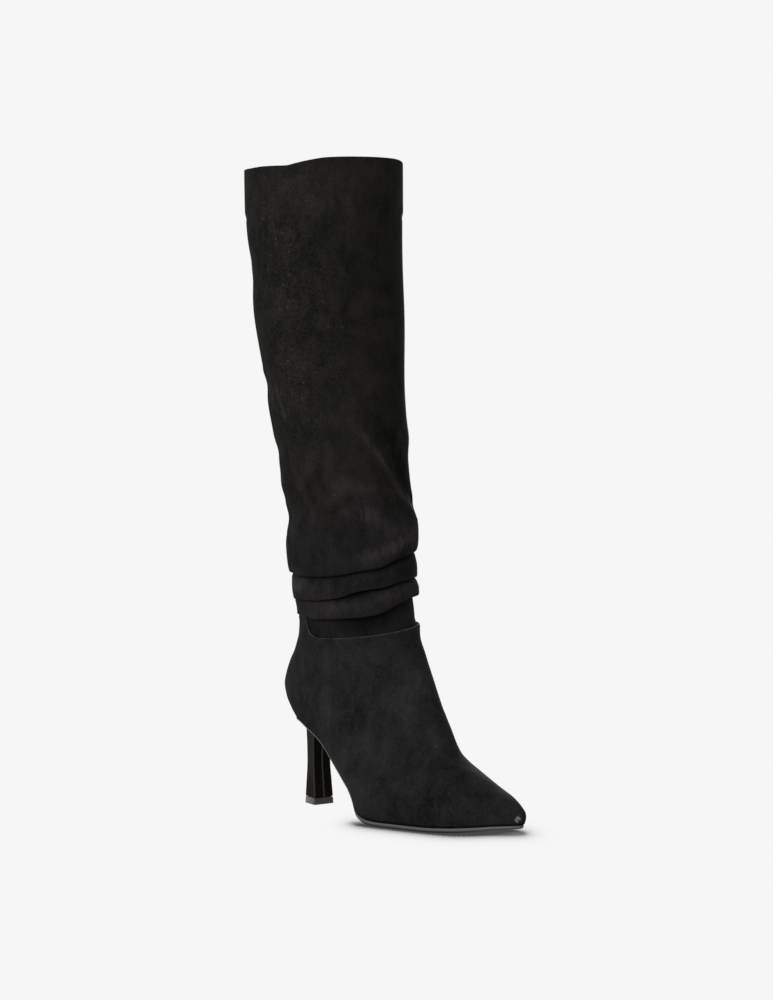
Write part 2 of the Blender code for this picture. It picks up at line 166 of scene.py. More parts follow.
# Heel: middle of the section, half width at the breast and at the back, half depth
HEEL = table("height middle breast back depth", [
    (0.0, -2.0, 9.2, 6.6, 7.7),
    (5.0, -2.1, 9.0, 6.4, 7.5),
    (16.0, -2.3, 8.7, 6.1, 6.7),
    (32.0, -2.7, 8.4, 5.6, 5.7),
    (46.0, -2.7, 8.7, 5.8, 5.8),
    (55.0, -2.5, 9.1, 6.2, 6.2),
    (66.0, -2.1, 9.8, 6.8, 6.7),
])

# Section of the seam up the heel's breast, also its painted highlight; painted highlights on back and breast
# corners
HEEL_SEAM = np.array([0.0, 0.0, 0.6, 1.0, 0.6, 0.0, 0.0])
BACK_CORNER_HIGHLIGHT = 0.2
BREAST_CORNER_HIGHLIGHT = 0.5

# Lines round the shaft, given as degrees from the back and heights
TOP_EDGE = (
    (0, 474.0), (40, 473.0), (60, 471.0), (76, 469.8), (92, 469.2), (104, 468.5), (114, 468.0), (120, 469.0),
    (130, 470.8), (143, 472.7), (152, 473.2), (170, 474.0), (190, 475.0), (213, 476.0), (250, 475.5),
    (290, 474.5), (330, 474.0),
)
CREASE_LINES = dict(
    low=(
        (0, 145.6), (30, 145.0), (74, 144.6), (90, 142.7), (106, 143.2), (126, 144.4), (144, 146.0),
        (156, 148.2), (166, 151.3), (181, 155.6), (204, 159.2), (240, 160.0), (270, 157.0), (300, 152.5),
        (330, 148.0),
    ),
    middle=(
        (0, 157.2), (30, 155.8), (86, 155.9), (110, 157.5), (125, 160.0), (136, 163.0), (148, 165.0),
        (161, 166.4), (180, 170.0), (209, 172.6), (240, 173.0), (270, 169.6), (300, 165.0), (330, 160.2),
    ),
    top=(
        (0, 175.2), (30, 175.2), (62, 175.2), (75, 173.3), (90, 173.2), (109, 173.7), (125, 175.2),
        (140, 177.7), (160, 180.4), (176, 185.3), (208, 190.8), (226, 192.6), (250, 191.6), (270, 188.4),
        (300, 182.8), (330, 177.7),
    ),
)
CALF_LINE = ((0, 226.0), (90, 226.0), (200, 236.0), (300, 232.0))

# Tab up the back of the upper: share of its height at an angle from the back, on the outer side
TAB_EDGE = table("degrees share", [
    (0.0, 1.0),
    (72.5, 1.0),
    (73.5, 0.95),
    (74.6, 0.77),
    (77.0, 0.44),
    (81.5, 0.17),
    (90.0, 0.03),
    (97.0, 0.0),
    (180.0, 0.0),
])

# How far each roll swells out of the form, and how deep the crease under it runs
ROLL_FULL = table("degrees low middle top", [
    (0, 0.0, 0.8, 3.2),
    (42, -0.5, 0.7, 3.4),
    (90, 1.6, 1.8, 3.2),
    (140, 2.2, 2.4, 2.8),
    (180, 2.0, 2.2, 3.4),
    (215, 2.4, 1.8, 3.8),
    (270, 0.8, 1.2, 3.0),
    (320, 1.2, 1.8, 3.4),
])
CREASE_DEEP = table("degrees low middle top", [
    (0, 2.6, 2.2, 2.2),
    (60, 2.6, 2.4, 2.4),
    (140, 2.8, 2.6, 2.4),
    (200, 2.8, 2.4, 2.0),
    (280, 2.4, 1.8, 1.6),
])

# How far each crease stands open, from 0, pressed shut, to 1
CREASE_GAPE = table("degrees low middle top", [
    (0, 0.2, 0.1, 0.1),
    (80, 0.1, 0.0, 0.1),
    (105, 0.3, 0.2, 0.2),
    (122, 0.6, 0.7, 0.3),
    (138, 0.8, 1.0, 0.4),
    (152, 0.8, 0.8, 0.6),
    (170, 0.7, 0.45, 0.7),
    (190, 0.55, 0.35, 0.6),
    (212, 0.45, 0.3, 0.4),
    (260, 0.3, 0.3, 0.3),
    (320, 0.2, 0.1, 0.2),
])
GAPE_FALL = 1.6
GAPE_DEEPER = 1.0

# Section of a roll from the crease under it to the next: share of the way up, drop of the lip, share of its
# fullness, and shares of the depth of the crease below and above
ROLL = table("along rise drop full below above", [
    (0.00, 0.000, 0.0, 0.00, 1.00, 0.00),
    (0.06, 0.000, 0.4, 0.10, 0.70, 0.00),
    (0.12, 0.005, 0.8, 0.38, 0.20, 0.00),
    (0.18, 0.020, 0.9, 0.66, 0.00, 0.00),
    (0.25, 0.060, 0.7, 0.86, 0.00, 0.00),
    (0.35, 0.160, 0.3, 0.98, 0.00, 0.00),
    (0.48, 0.330, 0.0, 1.00, 0.00, 0.00),
    (0.64, 0.560, 0.0, 0.80, 0.00, 0.00),
    (0.80, 0.780, 0.0, 0.44, 0.00, 0.00),
    (0.90, 0.900, 0.0, 0.12, 0.00, 0.22),
    (1.00, 1.000, 0.0, 0.00, 0.00, 1.00),
])
TOP_ROLL = table("along rise drop full below above", [
    (0.00, 0.000, 0.0, 0.00, 1.00, 0.00),
    (0.05, 0.000, 0.4, 0.10, 0.70, 0.00),
    (0.10, 0.002, 0.8, 0.36, 0.20, 0.00),
    (0.15, 0.010, 0.9, 0.50, 0.00, 0.00),
    (0.21, 0.035, 0.7, 0.64, 0.00, 0.00),
    (0.30, 0.090, 0.3, 0.80, 0.00, 0.00),
    (0.40, 0.180, 0.0, 0.92, 0.00, 0.00),
    (0.55, 0.370, 0.0, 1.00, 0.00, 0.00),
    (0.75, 0.660, 0.0, 0.56, 0.00, 0.00),
    (1.00, 1.000, 0.0, 0.00, 0.00, 0.00),
])

# The rolls from the lowest up: section, kind of rows, and the lines under and over it
ROLLS = (
    (ROLL, "roll", "low", "middle"),
    (ROLL, "roll", "middle", "top"),
    (TOP_ROLL, "top_roll", "top", "calf"),
)

# Soft ridges and troughs on the leg and on the foot: swell, half width, and a path of degrees and heights
LEG_FOLDS = dict(
    slant_ridge=(1.6, 3.0, ((157, 274), (171, 257), (180.5, 243), (192, 230), (201, 223.5), (212, 214))),
    slant_trough=(-1.6, 6.0, ((184, 258), (194, 246), (204, 237), (220, 229))),
    under_slant=(-1.2, 4.0, ((164, 223), (178, 217), (192, 210))),
    pillow_band=(-0.6, 3.0, ((156, 241), (170, 240), (180, 240))),
    pillow_high=(0.9, 4.5, ((140, 236), (150, 237), (158, 234.5))),
    pillow_gap=(-1.2, 3.6, ((138, 228), (156, 227.5), (171, 224.5), (187, 219))),
    pillow_low=(0.9, 4.5, ((132, 219.5), (150, 219.5), (164, 217.5))),
    lip_slant=(0.8, 4.0, ((162, 211), (176.5, 206), (192, 202))),
    back_streak=(0.6, 2.4, ((82, 310), (84, 300), (86, 288))),
    back_streak_low=(0.8, 2.4, ((69, 219), (73, 209), (75, 199))),
    back_notch=(-2.4, 9.0, ((15, 214), (46, 213), (66, 217))),
    back_pillow=(1.7, 9.0, ((20, 239), (50, 238), (70, 240))),
    back_low=(-1.4, 7.0, ((25, 264), (62, 264))),
    back_middle=(-1.9, 9.0, ((22, 313), (62, 313))),
    back_high=(-2.1, 18.0, ((20, 397), (66, 397))),
    front_swell=(1.2, 10.0, ((216, 272), (240, 272))),
    front_notch=(-0.8, 6.0, ((218, 224), (240, 224))),
    back_ridge=(0.8, 4.0, ((48, 322), (53, 302), (58, 284))),
    back_ridge_low=(0.9, 4.0, ((50, 224), (57, 210), (66, 196))),
    shin_hollow=(-1.2, 22.0, ((165, 330), (160, 380))),
    calf_hollow=(-1.0, 20.0, ((80, 300), (95, 268))),
    inner_sag=(-1.4, 12.0, ((235, 262), (255, 246), (300, 240))),
    inner_ridge=(1.0, 8.0, ((230, 232), (255, 222), (310, 218))),
    closing_seam=(-0.7, 1.2, ((277, 337), (277, 471))),
    closing_ridge_front=(0.35, 1.8, ((274.4, 337), (274.4, 471))),
    closing_ridge_back=(0.35, 1.8, ((279.6, 337), (279.6, 471))),
)
FOOT_FOLDS = dict(
    counter_edge=(0.35, 1.5, ((79, 130), (82, 125), (88, 115), (95, 106), (101, 99))),
    counter_hollow=(-0.7, 9.0, ((108, 118), (116, 104))),
    vamp_ridge=(0.5, 7.0, ((178, 112), (178, 84), (180, 62))),
    flex_dent=(-0.6, 9.0, ((128, 34), (142, 44), (158, 54))),
    heel_seam=(-0.5, 1.0, ((0, 66), (0, 139))),
)

# Painted highlights and shade on folds, rolls and vamp, and some lighter or darker nap: amount, half width,
# and a path on the leg or a spot on the foot
LEG_LIGHT_AND_NAP = dict(
    collar=(0.6, 22.0, ((116, 452), (180, 455))),
    leg=(-0.5, 30.0, ((84, 412), (135, 390))),
    leg_low=(-0.5, 15.0, ((66, 244), (88, 232))),
    back_streak=(2.2, 2.0, ((80, 310), (82, 300), (85, 288))),
    back_streak_low=(1.4, 2.2, ((69, 219), (73, 209), (75, 199))),
    lip_front=(2.1, 5.0, ((148, 187), (166, 192), (184, 198))),
    lip_right=(1.4, 8.0, ((172, 202), (190, 206), (214, 209))),
    lip_low_right=(1.5, 5.0, ((168, 193), (186, 198), (206, 201))),
    lip_slant=(0.5, 5.0, ((150, 219), (166, 211), (182, 205), (204, 199))),
    under_top=(-0.2, 5.0, ((158, 174), (172, 178), (186, 181))),
    roll_left=(2.5, 5.0, ((44, 166), (78, 166))),
    roll_low_middle=(1.3, 5.0, ((104, 149), (142, 155))),
    roll_low_front=(1.8, 6.0, ((156, 159), (182, 163), (214, 167))),
    band_middle=(-0.4, 5.0, ((118, 136), (150, 140), (172, 146))),
    band_front=(1.3, 7.0, ((176, 146), (214, 149))),
    pillow_high=(1.3, 6.0, ((128, 238), (157, 235))),
    pillow_low=(1.2, 6.0, ((134, 219.5), (162, 217))),
    slant_valley=(-1.8, 9.0, ((182, 272), (194, 254), (204, 240), (214, 230))),
    slant_line=(2.4, 2.2, ((157, 274), (171, 257), (180.5, 243), (192, 230), (201, 223.5), (212, 214))),
)
FOOT_LIGHT_AND_NAP = (
    (0.5, 10.0, 166, 17),
    (1.2, 22.0, 30, 90),
    (0.6, 13.0, 176, 64),
    (0.9, 11.0, 178, 100),
    (0.5, 8.0, 174, 30),
    (-0.5, 24.0, 128, 85),
    (-0.1, 14.0, 156, 28),
    (0.7, 16.0, 164, 92),
    (-0.9, 22.0, 122, 22),
)

# Where lint clings: amount, half width, and a path on the leg
LEG_LINT = dict(
    outer_back=(1.4, 40.0, ((80, 446), (90, 380), (98, 300))),
    outer_front=(0.9, 30.0, ((122, 445), (132, 330))),
    calf=(0.6, 26.0, ((85, 290), (120, 235))),
)
FOOT_LINT = 0.4

# Rubbed dabs at the tip of the toe: strength, size, and place in degrees and height
TOE_SCUFF = (
    (0.95, 1.05, 166.5, 14.5),
    (1.0, 1.05, 169.0, 16.1),
    (0.95, 1.0, 168.8, 13.2),
    (0.9, 1.1, 171.8, 15.2),
)

# Driving sizes of the walls, edges and zip
WALL = 1.8
FIT_GAP = 0.3
TUCK = WALL + FIT_GAP
LAP = TUCK + FIT_GAP
TUCK_REACH = 9.0
BEHIND_ROLLS = 2.8
BEHIND_ROLLS_END = (205.0, 245.0)
LINING_GAP = 0.1
LINING_THICK = 0.7
LINING_TOP = 446.0
LINING_LOW = 124.0
COLLAR_LINE = 436.0
COLLAR_PRESS = 0.35
TURNED_EDGE = 0.9
TURNED_DROP = 0.25
TURNED_IN = 0.5
SEAM_STITCHES_BELOW = 2.4
STEEPEST = 2.5
HALVINGS = 40
ABOVE_FEATHER = 100.0
CREASE_LOW_ANGLE = np.radians(60.0)
CREASE_POWER = 1.3
SEAM_LOW = 128.0
SEAM_RISE = 11.0
TAB_LOW = 143.4
TAB_RISE = 13.5
TAB_SHIFT = 2.0
TAB_STEEP = 77.0
TAB_PRESS = 1.6
CROWD = 2.0
CROWD_WIDTH = np.radians(9.0)
ZIP_ANGLE = np.radians(277.0)
ZIP_BOTTOM = 85.0
ZIP_TOP = 331.0
ZIP_CALM = np.radians(14.0)
SLIDER_HEIGHT = 326.0
HINGE_OUT = 6.0
HINGE_UP = 2.5
TAPE_LOW = ZIP_BOTTOM - 1.0
TAPE_HIGH = ZIP_TOP + 2.0
LIP_PAST_BOTTOM = 3.0
LIP_PAST_TOP = 4.0
LIP_STITCHES_ACROSS = 5.6
LIP_STITCHES_OUT = 1.42
LIFT_THICK = 5.0
INSOLE_LIFT = 0.2
INSOLE_THICK = 1.6
SOLE_TOE_INSET = 0.3

# Shade on the floor: reach of the floor, and plateau, fall, peak, stretch and lean of the shade
FLOOR_MIDDLE = np.array([0.0, 150.0])
FLOOR_RADIUS = 160.0
CONTACT_EDGE = 2.0
CONTACT_FALL = 4.2
CONTACT_SHADE = 0.93
CONTACT_STRETCH = 2.3
CONTACT_LEAN = 3.5

# Fineness of the grids
AROUND = 336
SOLE_AROUND = 280
ROWS = dict(band=12, roll=34, top_roll=52, leg=104, rim=9, inside=24, foot=124, turn=6)
LEG_RADIUS = 48.0


def smooth(at, xs, ys):
    """Monotone cubic through the points (xs, ys), read at each value of at.

    Each tangent is the weighted harmonic mean of the slopes on both sides, or zero at a peak.
    """
    at = np.clip(np.asarray(at, float), xs[0], xs[-1])
    ys = np.broadcast_to(ys, at.shape + (len(xs),))
    step = np.diff(xs)
    slope = np.diff(ys, axis=-1) / step
    left, right = slope[..., :-1], slope[..., 1:]
    same = left * right > 0
    one, two = 2 * step[1:] + step[:-1], step[1:] + 2 * step[:-1]
    mean = (one + two) / (one / np.where(same, left, 1.0) + two / np.where(same, right, 1.0))
    tangent = np.concatenate([slope[..., :1], np.where(same, mean, 0.0), slope[..., -1:]], -1)
    cell = np.clip(np.searchsorted(xs, at, side="right") - 1, 0, len(xs) - 2)

    def pick(values, shift):
        return np.take_along_axis(values, (cell + shift)[..., None], -1)[..., 0]

    t = (at - xs[cell]) / step[cell]
    low = (1 + 2 * t) * (1 - t) ** 2 * pick(ys, 0) + t * (1 - t) ** 2 * step[cell] * pick(tangent, 0)
    high = t * t * (3 - 2 * t) * pick(ys, 1) + t * t * (t - 1) * step[cell] * pick(tangent, 1)
    return low + high


def read(source, name, at):
    """One column of a table, read along the table's first column."""
    first = next(iter(source))
    return smooth(at, source[first], source[name])


def closed_line(points, angle):
    """Value at each angle of a line that closes round the boot through (degrees, value) points."""
    degrees, values = np.array(points, float).T
    turns = np.concatenate([degrees - 360, degrees, degrees + 360])
    return smooth(np.degrees(angle), turns, np.tile(values, 3))


def round_boot(source, angle):
    """Each column of a table of degrees, read at the angles round the boot."""
    degrees, *names = source
    return {name: closed_line(np.column_stack([source[degrees], source[name]]), angle) for name in names}


def ease(value, start, end):
    """Smooth step from 0 at start to 1 at end."""
    t = np.clip((value - start) / (end - start), 0, 1)
    return t * t * (3 - 2 * t)


def half_width(share, height, side):
    """Half width at a share of the way from back to front, from the table of one side."""
    rows = np.stack([read(side, name, height) for name in STATIONS], -1)
    return smooth(share, np.array(list(STATIONS.values())), rows) + read(LEG, "wider", height)


def edge_of_level(name, height, depth):
    """Back or front line at a depth inside the form, square to the line's slope."""
    probe = 0.5
    slope = (read(PROFILE, name, height + probe) - read(PROFILE, name, height - probe)) / (2 * probe)
    inward = 1.0 if name == "back" else -1.0
    return read(PROFILE, name, height) + inward * depth * np.minimum(np.hypot(1.0, slope), STEEPEST)


def skin(angle, height, depth=0.0):
    """Point of the form at an angle from the back and a height, moved inwards by depth.

    Each level is an oval: y runs from back to front as (1 - cos angle) / 2, and x is the half width times the
    sine of the angle, plus the lean and the swing of the front.
    """
    angle, height, depth = np.broadcast_arrays(np.mod(angle, FULL_TURN), height, depth)
    back = edge_of_level("back", height, depth)
    front = edge_of_level("front", height, depth)
    share = (1 - np.cos(angle)) / 2
    outer = half_width(share, height, LATERAL)
    inner = half_width(share, height, MEDIAL)
    full = np.where(angle <= np.pi, outer, inner) - depth
    x = read(PROFILE, "lean", height) + read(PROFILE, "swing", height) * share ** 2 + full * np.sin(angle)
    y = back + share * (front - back)
    return np.stack([x, y, np.asarray(height, float)], -1)


def feather_height(angle, depth):
    """Height where the form at this depth meets the feather line, found by halving."""
    low, high = np.zeros_like(angle), np.full_like(angle, ABOVE_FEATHER)
    for _ in range(HALVINGS):
        middle = (low + high) / 2
        over = middle > read(FEATHER, "height", skin(angle, middle, depth)[..., 1])
        high = np.where(over, middle, high)
        low = np.where(over, low, middle)
    return high


def seam_height(angle):
    """Top edge of the upper: a wave that is lowest behind the outer ankle, with a tab up the back."""
    wave = ((1 - np.cos(angle - CREASE_LOW_ANGLE)) / 2) ** CREASE_POWER
    edge = SEAM_LOW + SEAM_RISE * wave
    tab = TAB_LOW + TAB_RISE * wave
    return edge + (tab - edge) * tab_share(angle)


def tab_share(angle):
    """Share of the tab's height at an angle: the outer side's table, and the same shifted inside."""
    degrees = np.degrees(np.mod(angle, FULL_TURN))
    from_back = np.where(degrees <= 180, degrees, np.minimum(360 - degrees + TAB_SHIFT, 180))
    return read(TAB_EDGE, "share", from_back)


def ring_angles(columns):
    """Angles of the columns round the boot, from the back."""
    return np.linspace(0.0, FULL_TURN, columns, endpoint=False)


def crowded_angles(columns):
    """Angles of the columns round the upper: they stand closer where the tab's edge climbs.

    Their density is one plus a bell at each edge of the tab, and the angles invert its running sum.
    """
    fine = np.linspace(0.0, FULL_TURN, 3601)
    edges = np.radians((TAB_STEEP, 360.0 - TAB_STEEP + TAB_SHIFT))
    density = 1 + CROWD * np.exp(-((fine[:, None] - edges) / CROWD_WIDTH) ** 2).sum(-1)
    sums = np.concatenate([[0.0], np.cumsum((density[1:] + density[:-1]) / 2)])
    return np.interp(np.linspace(0.0, sums[-1], columns, endpoint=False), sums, fine)


def soft_folds(folds, angle, height):
    """Sum of listed ridges and troughs.

    Each is its swell times a bell, exp of minus the squared distance to its path over its squared half width,
    with distances measured on the unrolled surface.
    """
    angle, height = np.broadcast_arrays(angle, height)
    total = np.zeros(angle.shape)
    across = angle * LEG_RADIUS
    for swell, width, path in folds.values():
        nearest = np.full(angle.shape, np.inf)
        points = [(np.radians(degrees) * LEG_RADIUS, up) for degrees, up in path]
        for (x0, y0), (x1, y1) in zip(points[:-1], points[1:]):
            for turn in (-FULL_TURN * LEG_RADIUS, 0.0, FULL_TURN * LEG_RADIUS):
                dx, dy = across + turn - x0, height - y0
                run_x, run_y = x1 - x0, y1 - y0
                t = np.clip((dx * run_x + dy * run_y) / (run_x ** 2 + run_y ** 2), 0, 1)
                nearest = np.minimum(nearest, (dx - t * run_x) ** 2 + (dy - t * run_y) ** 2)
        total = total + swell * np.exp(-nearest / width ** 2)
    return total


def spots(patches, points):
    """Sum of soft balls of tone.

    Each is its amount times exp of minus the squared distance to the spot over its squared width. A spot is
    given by its degrees and height on the form.
    """
    total = np.zeros(points.shape[:-1])
    for amount, wide, degrees, height in patches:
        centre = skin(np.radians(degrees), height)
        total = total + amount * np.exp(-((points - centre) ** 2).sum(-1) / wide ** 2)
    return total


def slack(angle, height):
    """Slight waviness of soft leather: three crossing sine waves that grow from the rolls up the leg."""
    waves = 0.30 * np.sin(3 * angle + height / 23)
    waves = waves + 0.22 * np.sin(5 * angle - height / 31 + 1.0)
    waves = waves + 0.16 * np.sin(2 * angle - height / 13 + 2.2)
    return waves * ease(height, 180.0, 240.0) * (1 - 0.6 * ease(height, 430.0, 450.0))


def roll_section(profile, rows, lines, full, deep, gape):
    """Rows of one roll: heights, swell and painted shade, from the crease under it to the line above.

    Height is the lower line plus the share of the way to the upper line, less the drop of the lip. The swell
    is the roll's fullness less the depths of the creases below and above, each times its profile's share, and
    less a fall of the roll's top under a crease that stands open.
    """
    along = np.linspace(0.0, 1.0, rows, endpoint=False)[:, None]
    part = {name: read(profile, name, along) for name in profile}
    low, high = lines
    height = low + (high - low) * part["rise"] - part["drop"]
    hollow = part["below"] * (deep[0] + GAPE_DEEPER * gape[0])
    hollow = hollow + part["above"] * (deep[1] + GAPE_DEEPER * gape[1])
    fall = gape[1] * GAPE_FALL * ease(part["rise"], 0.4, 0.92) * (1 - part["above"])
    # Painted shade under the roll's lip, down its creases, and on its top under a crease that stands open
    under_lip = 0.6 * (1 - ease(along, 0.08, 0.24))
    under_crease = (0.15 + 0.75 * gape[1]) * ease(part["rise"], 0.78 - 0.3 * gape[1], 1.0) * np.sign(deep[1])
    shade = np.maximum(part["below"] + part["above"], np.maximum(under_lip, under_crease))
    return height, part["full"] * full - hollow - fall, shade


def shaft_rows(angle):
    """Heights, swell and painted shade of the shaft's outer face, from its tucked edge up to the collar."""
    calm = 1 - np.exp(-((angle - ZIP_ANGLE) / ZIP_CALM) ** 2)
    lines = {name: closed_line(points, angle) for name, points in CREASE_LINES.items()}
    lines["calf"] = closed_line(CALF_LINE, angle)
    full, deep, gape = ({name: values * calm for name, values in round_boot(source, angle).items()}
                        for source in (ROLL_FULL, CREASE_DEEP, CREASE_GAPE))
    deep["low"] = np.maximum(deep["low"], LAP * calm + FIT_GAP)
    deep["calf"] = gape["calf"] = np.zeros_like(angle)
    seam = np.minimum(seam_height(angle), lines["low"] - 1.0)
    climb = np.linspace(0.0, 1.0, ROWS["band"], endpoint=False)[:, None]
    band_height = seam - TUCK_REACH + (lines["low"] - seam + TUCK_REACH) * climb
    above_seam = ease(band_height, seam + 0.5, seam + 4.0)
    band_out = -LAP + (LAP - deep["low"] - GAPE_DEEPER * gape["low"]) * above_seam
    # Painted shade on the band under the lowest roll, darker below a crease that stands open
    band_shade = 0.15 + 0.5 * gape["low"] * ease(band_height, lines["low"] - 16.0, lines["low"] - 2.0)
    sections = [(band_height, band_out, band_shade)]
    for profile, rows, under, over in ROLLS:
        ends, hollows, gaps = ((kind[under], kind[over]) for kind in (lines, deep, gape))
        sections.append(roll_section(profile, ROWS[rows], ends, full[under], hollows, gaps))
    climb = np.linspace(0.0, 1.0, ROWS["leg"])[:, None]
    leg_height = lines["calf"] + (closed_line(TOP_EDGE, angle) - WALL / 2 - lines["calf"]) * climb
    sections.append((leg_height, np.zeros(leg_height.shape), np.zeros(leg_height.shape)))
    return [np.concatenate(kind) for kind in zip(*sections)]


def rim_rows(height, thickness):
    """Half round edge from the outer to the inner face: heights and depths of a half circle."""
    turn = np.linspace(0.0, np.pi, ROWS["rim"])[1:, None]
    radius = thickness / 2
    return height + radius * np.sin(turn), np.broadcast_to(radius - radius * np.cos(turn), (len(turn), 1))


def collar_band(height):
    """Band stiffened by the facing: it stands slightly proud, with a fine line pressed in under it."""
    step = size("collar_step") * ease(height, COLLAR_LINE - 1.0, COLLAR_LINE + 5.0)
    line = -COLLAR_PRESS * np.exp(-((height - COLLAR_LINE) / 1.4) ** 2)
    return step + line


def shaft_outside(angle, height, swell):
    """Outer face of the shaft: the form moved out by swell, soft folds, slack and collar band."""
    out = swell + soft_folds(LEG_FOLDS, angle, height) * ease(height, 170.0, 200.0)
    out = out + slack(angle, height) + collar_band(height)
    return skin(angle, height, -out), out


def loop_faces(rows, columns, close_rows=False):
    """Quads of a grid that closes on itself along its columns, and along its rows too if asked."""
    last = rows if close_rows else rows - 1
    row, column = np.meshgrid(np.arange(last), np.arange(columns), indexing="ij")
    following = (column + 1) % columns
    low, high = row * columns, (row + 1) % rows * columns
    corners = (low + column, low + following, high + following, high + column)
    return np.stack(corners, -1).reshape(-1, 4)


def cross_faces(columns):
    """Faces across a loop, in strips between a column and its twin on the other side."""
    half = columns // 2
    k = np.arange(1, half - 1)
    strips = np.stack([k, k + 1, columns - k - 1, columns - k], -1)
    return [(0, 1, columns - 1), *map(tuple, strips.tolist()), (half - 1, half, half + 1)]


def ring(*axes):
    """Points from their coordinates along each axis, of which some may be single numbers."""
    return np.stack(np.broadcast_arrays(*axes), -1)


def closed_grid(points, ends="loop"):
    """Points and faces of a grid of rings: a ring of rings, or a stack closed by strips or by one polygon."""
    rows, columns = points.shape[:2]
    if ends == "loop":
        return points.reshape(-1, 3), loop_faces(rows, columns, True).tolist()
    faces = loop_faces(rows, columns).tolist()
    below = cross_faces(columns) if ends == "strips" else [tuple(range(columns))]
    faces += [tuple(reversed(face)) for face in below]
    faces += [tuple(i + (rows - 1) * columns for i in face) for face in below]
    return points.reshape(-1, 3), faces


def joined(parts):
    """One set of points and faces from several."""
    points, faces, start = [], [], 0
    for some_points, some_faces in parts:
        points.append(some_points)
        faces += [tuple(i + start for i in face) for face in some_faces]
        start += len(some_points)
    return np.concatenate(points), faces


def turned_out(points, faces):
    """The faces, all reversed if they enclose a negative volume.

    The volume is the sum of triple products over the fans of triangles that the faces make.
    """
    total = 0.0
    for count in {len(face) for face in faces}:
        some = points[np.array([face for face in faces if len(face) == count])]
        for k in range(1, count - 1):
            total += np.einsum("ij,ij->", some[:, 0], np.cross(some[:, k], some[:, k + 1]))
    return faces if total > 0 else [tuple(reversed(face)) for face in faces]


def add_mark(mesh, name, values):
    """A value for each point of a mesh, which its material can read by name."""
    layer = mesh.attributes.new(name, "FLOAT", "POINT")
    layer.data.foreach_set("value", np.ravel(values).astype(np.float32))


def make_piece(name, shape, finish, replaces=(), body="boot", sharp=None, marks=None):
    """Object from points in millimetres and faces, on a body, with its finish and its marks per point."""
    points, faces = shape
    mesh = bpy.data.meshes.new(name)
    mesh.from_pydata(points * MM, [], turned_out(points, faces))
    mesh.shade_smooth()
    if sharp is not None:
        mesh.set_sharp_from_angle(angle=np.radians(sharp))
    for label, values in (marks or {}).items():
        add_mark(mesh, label, values)
    mesh.materials.append(finish_named(finish))
    mesh.update()
    piece = bpy.data.objects.new(name, mesh)
    bpy.context.scene.collection.objects.link(piece)
    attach(piece, body)
    if replaces:
        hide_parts(*replaces)


def even_steps(points, step, closed):
    """Even spots along a line of points: the spots, and the direction of the line there."""
    line = np.concatenate([points, points[:1]]) if closed else points
    length = np.concatenate([[0.0], np.cumsum(np.linalg.norm(np.diff(line, axis=0), axis=1))])
    count = max(int(length[-1] / step), 1)
    at = (np.arange(count) + 0.5) * length[-1] / count
    reach = 0.2 * step

    def spot(where):
        return np.stack([np.interp(where, length, line[:, k]) for k in range(3)], -1)

    ahead = spot(at + reach) - spot(at - reach)
    return spot(at), unit(ahead)


def unit(vectors):
    """Vectors brought to length one."""
    return vectors / np.linalg.norm(vectors, axis=-1, keepdims=True)


def stitch_row(points, outward, closed=True):
    """Row of stitches along a line: each is a short rounded bar whose ends dip into the leather.

    A bar is a ring of points carried along its length; its radius is that of an ellipse, and it bends down by
    the square of the distance from its middle.
    """
    length, radius = size("stitch_length"), size("thread_radius")
    middles, ahead = even_steps(points, size("stitch_spacing"), closed)
    near = np.argmin(((middles[:, None] - points[None]) ** 2).sum(-1), 1)
    out = outward[near]
    side = unit(np.cross(ahead, out))
    along = np.array([-1.0, -0.8, -0.35, 0.35, 0.8, 1.0])[:, None]
    thick = np.array([0.25, 0.75, 1.0, 1.0, 0.75, 0.25])[:, None] * radius
    turn = ring_angles(6)
    bend = (0.4 - 1.1 * along ** 2) * radius
    local = ring(along * length / 2, thick * np.cos(turn), thick * np.sin(turn) + bend)
    axes = (kind[:, None, None] for kind in (middles, ahead, side, out))
    return joined(closed_grid(bar, "polygon") for bar in placed(local, *axes))


def upper_swell(angle, height):
    """How far the upper stands out of the form: folds, thicker top edge, and the tab pressed to the leg."""
    top, tab = seam_height(angle), tab_share(angle)
    swell = soft_folds(FOOT_FOLDS, angle, height)
    swell = swell + 0.25 * ease(height, top - 9.0, top - 3.0) * (1 - tab)
    return swell - TAB_PRESS * tab * ease(height, 122.0, 140.0)


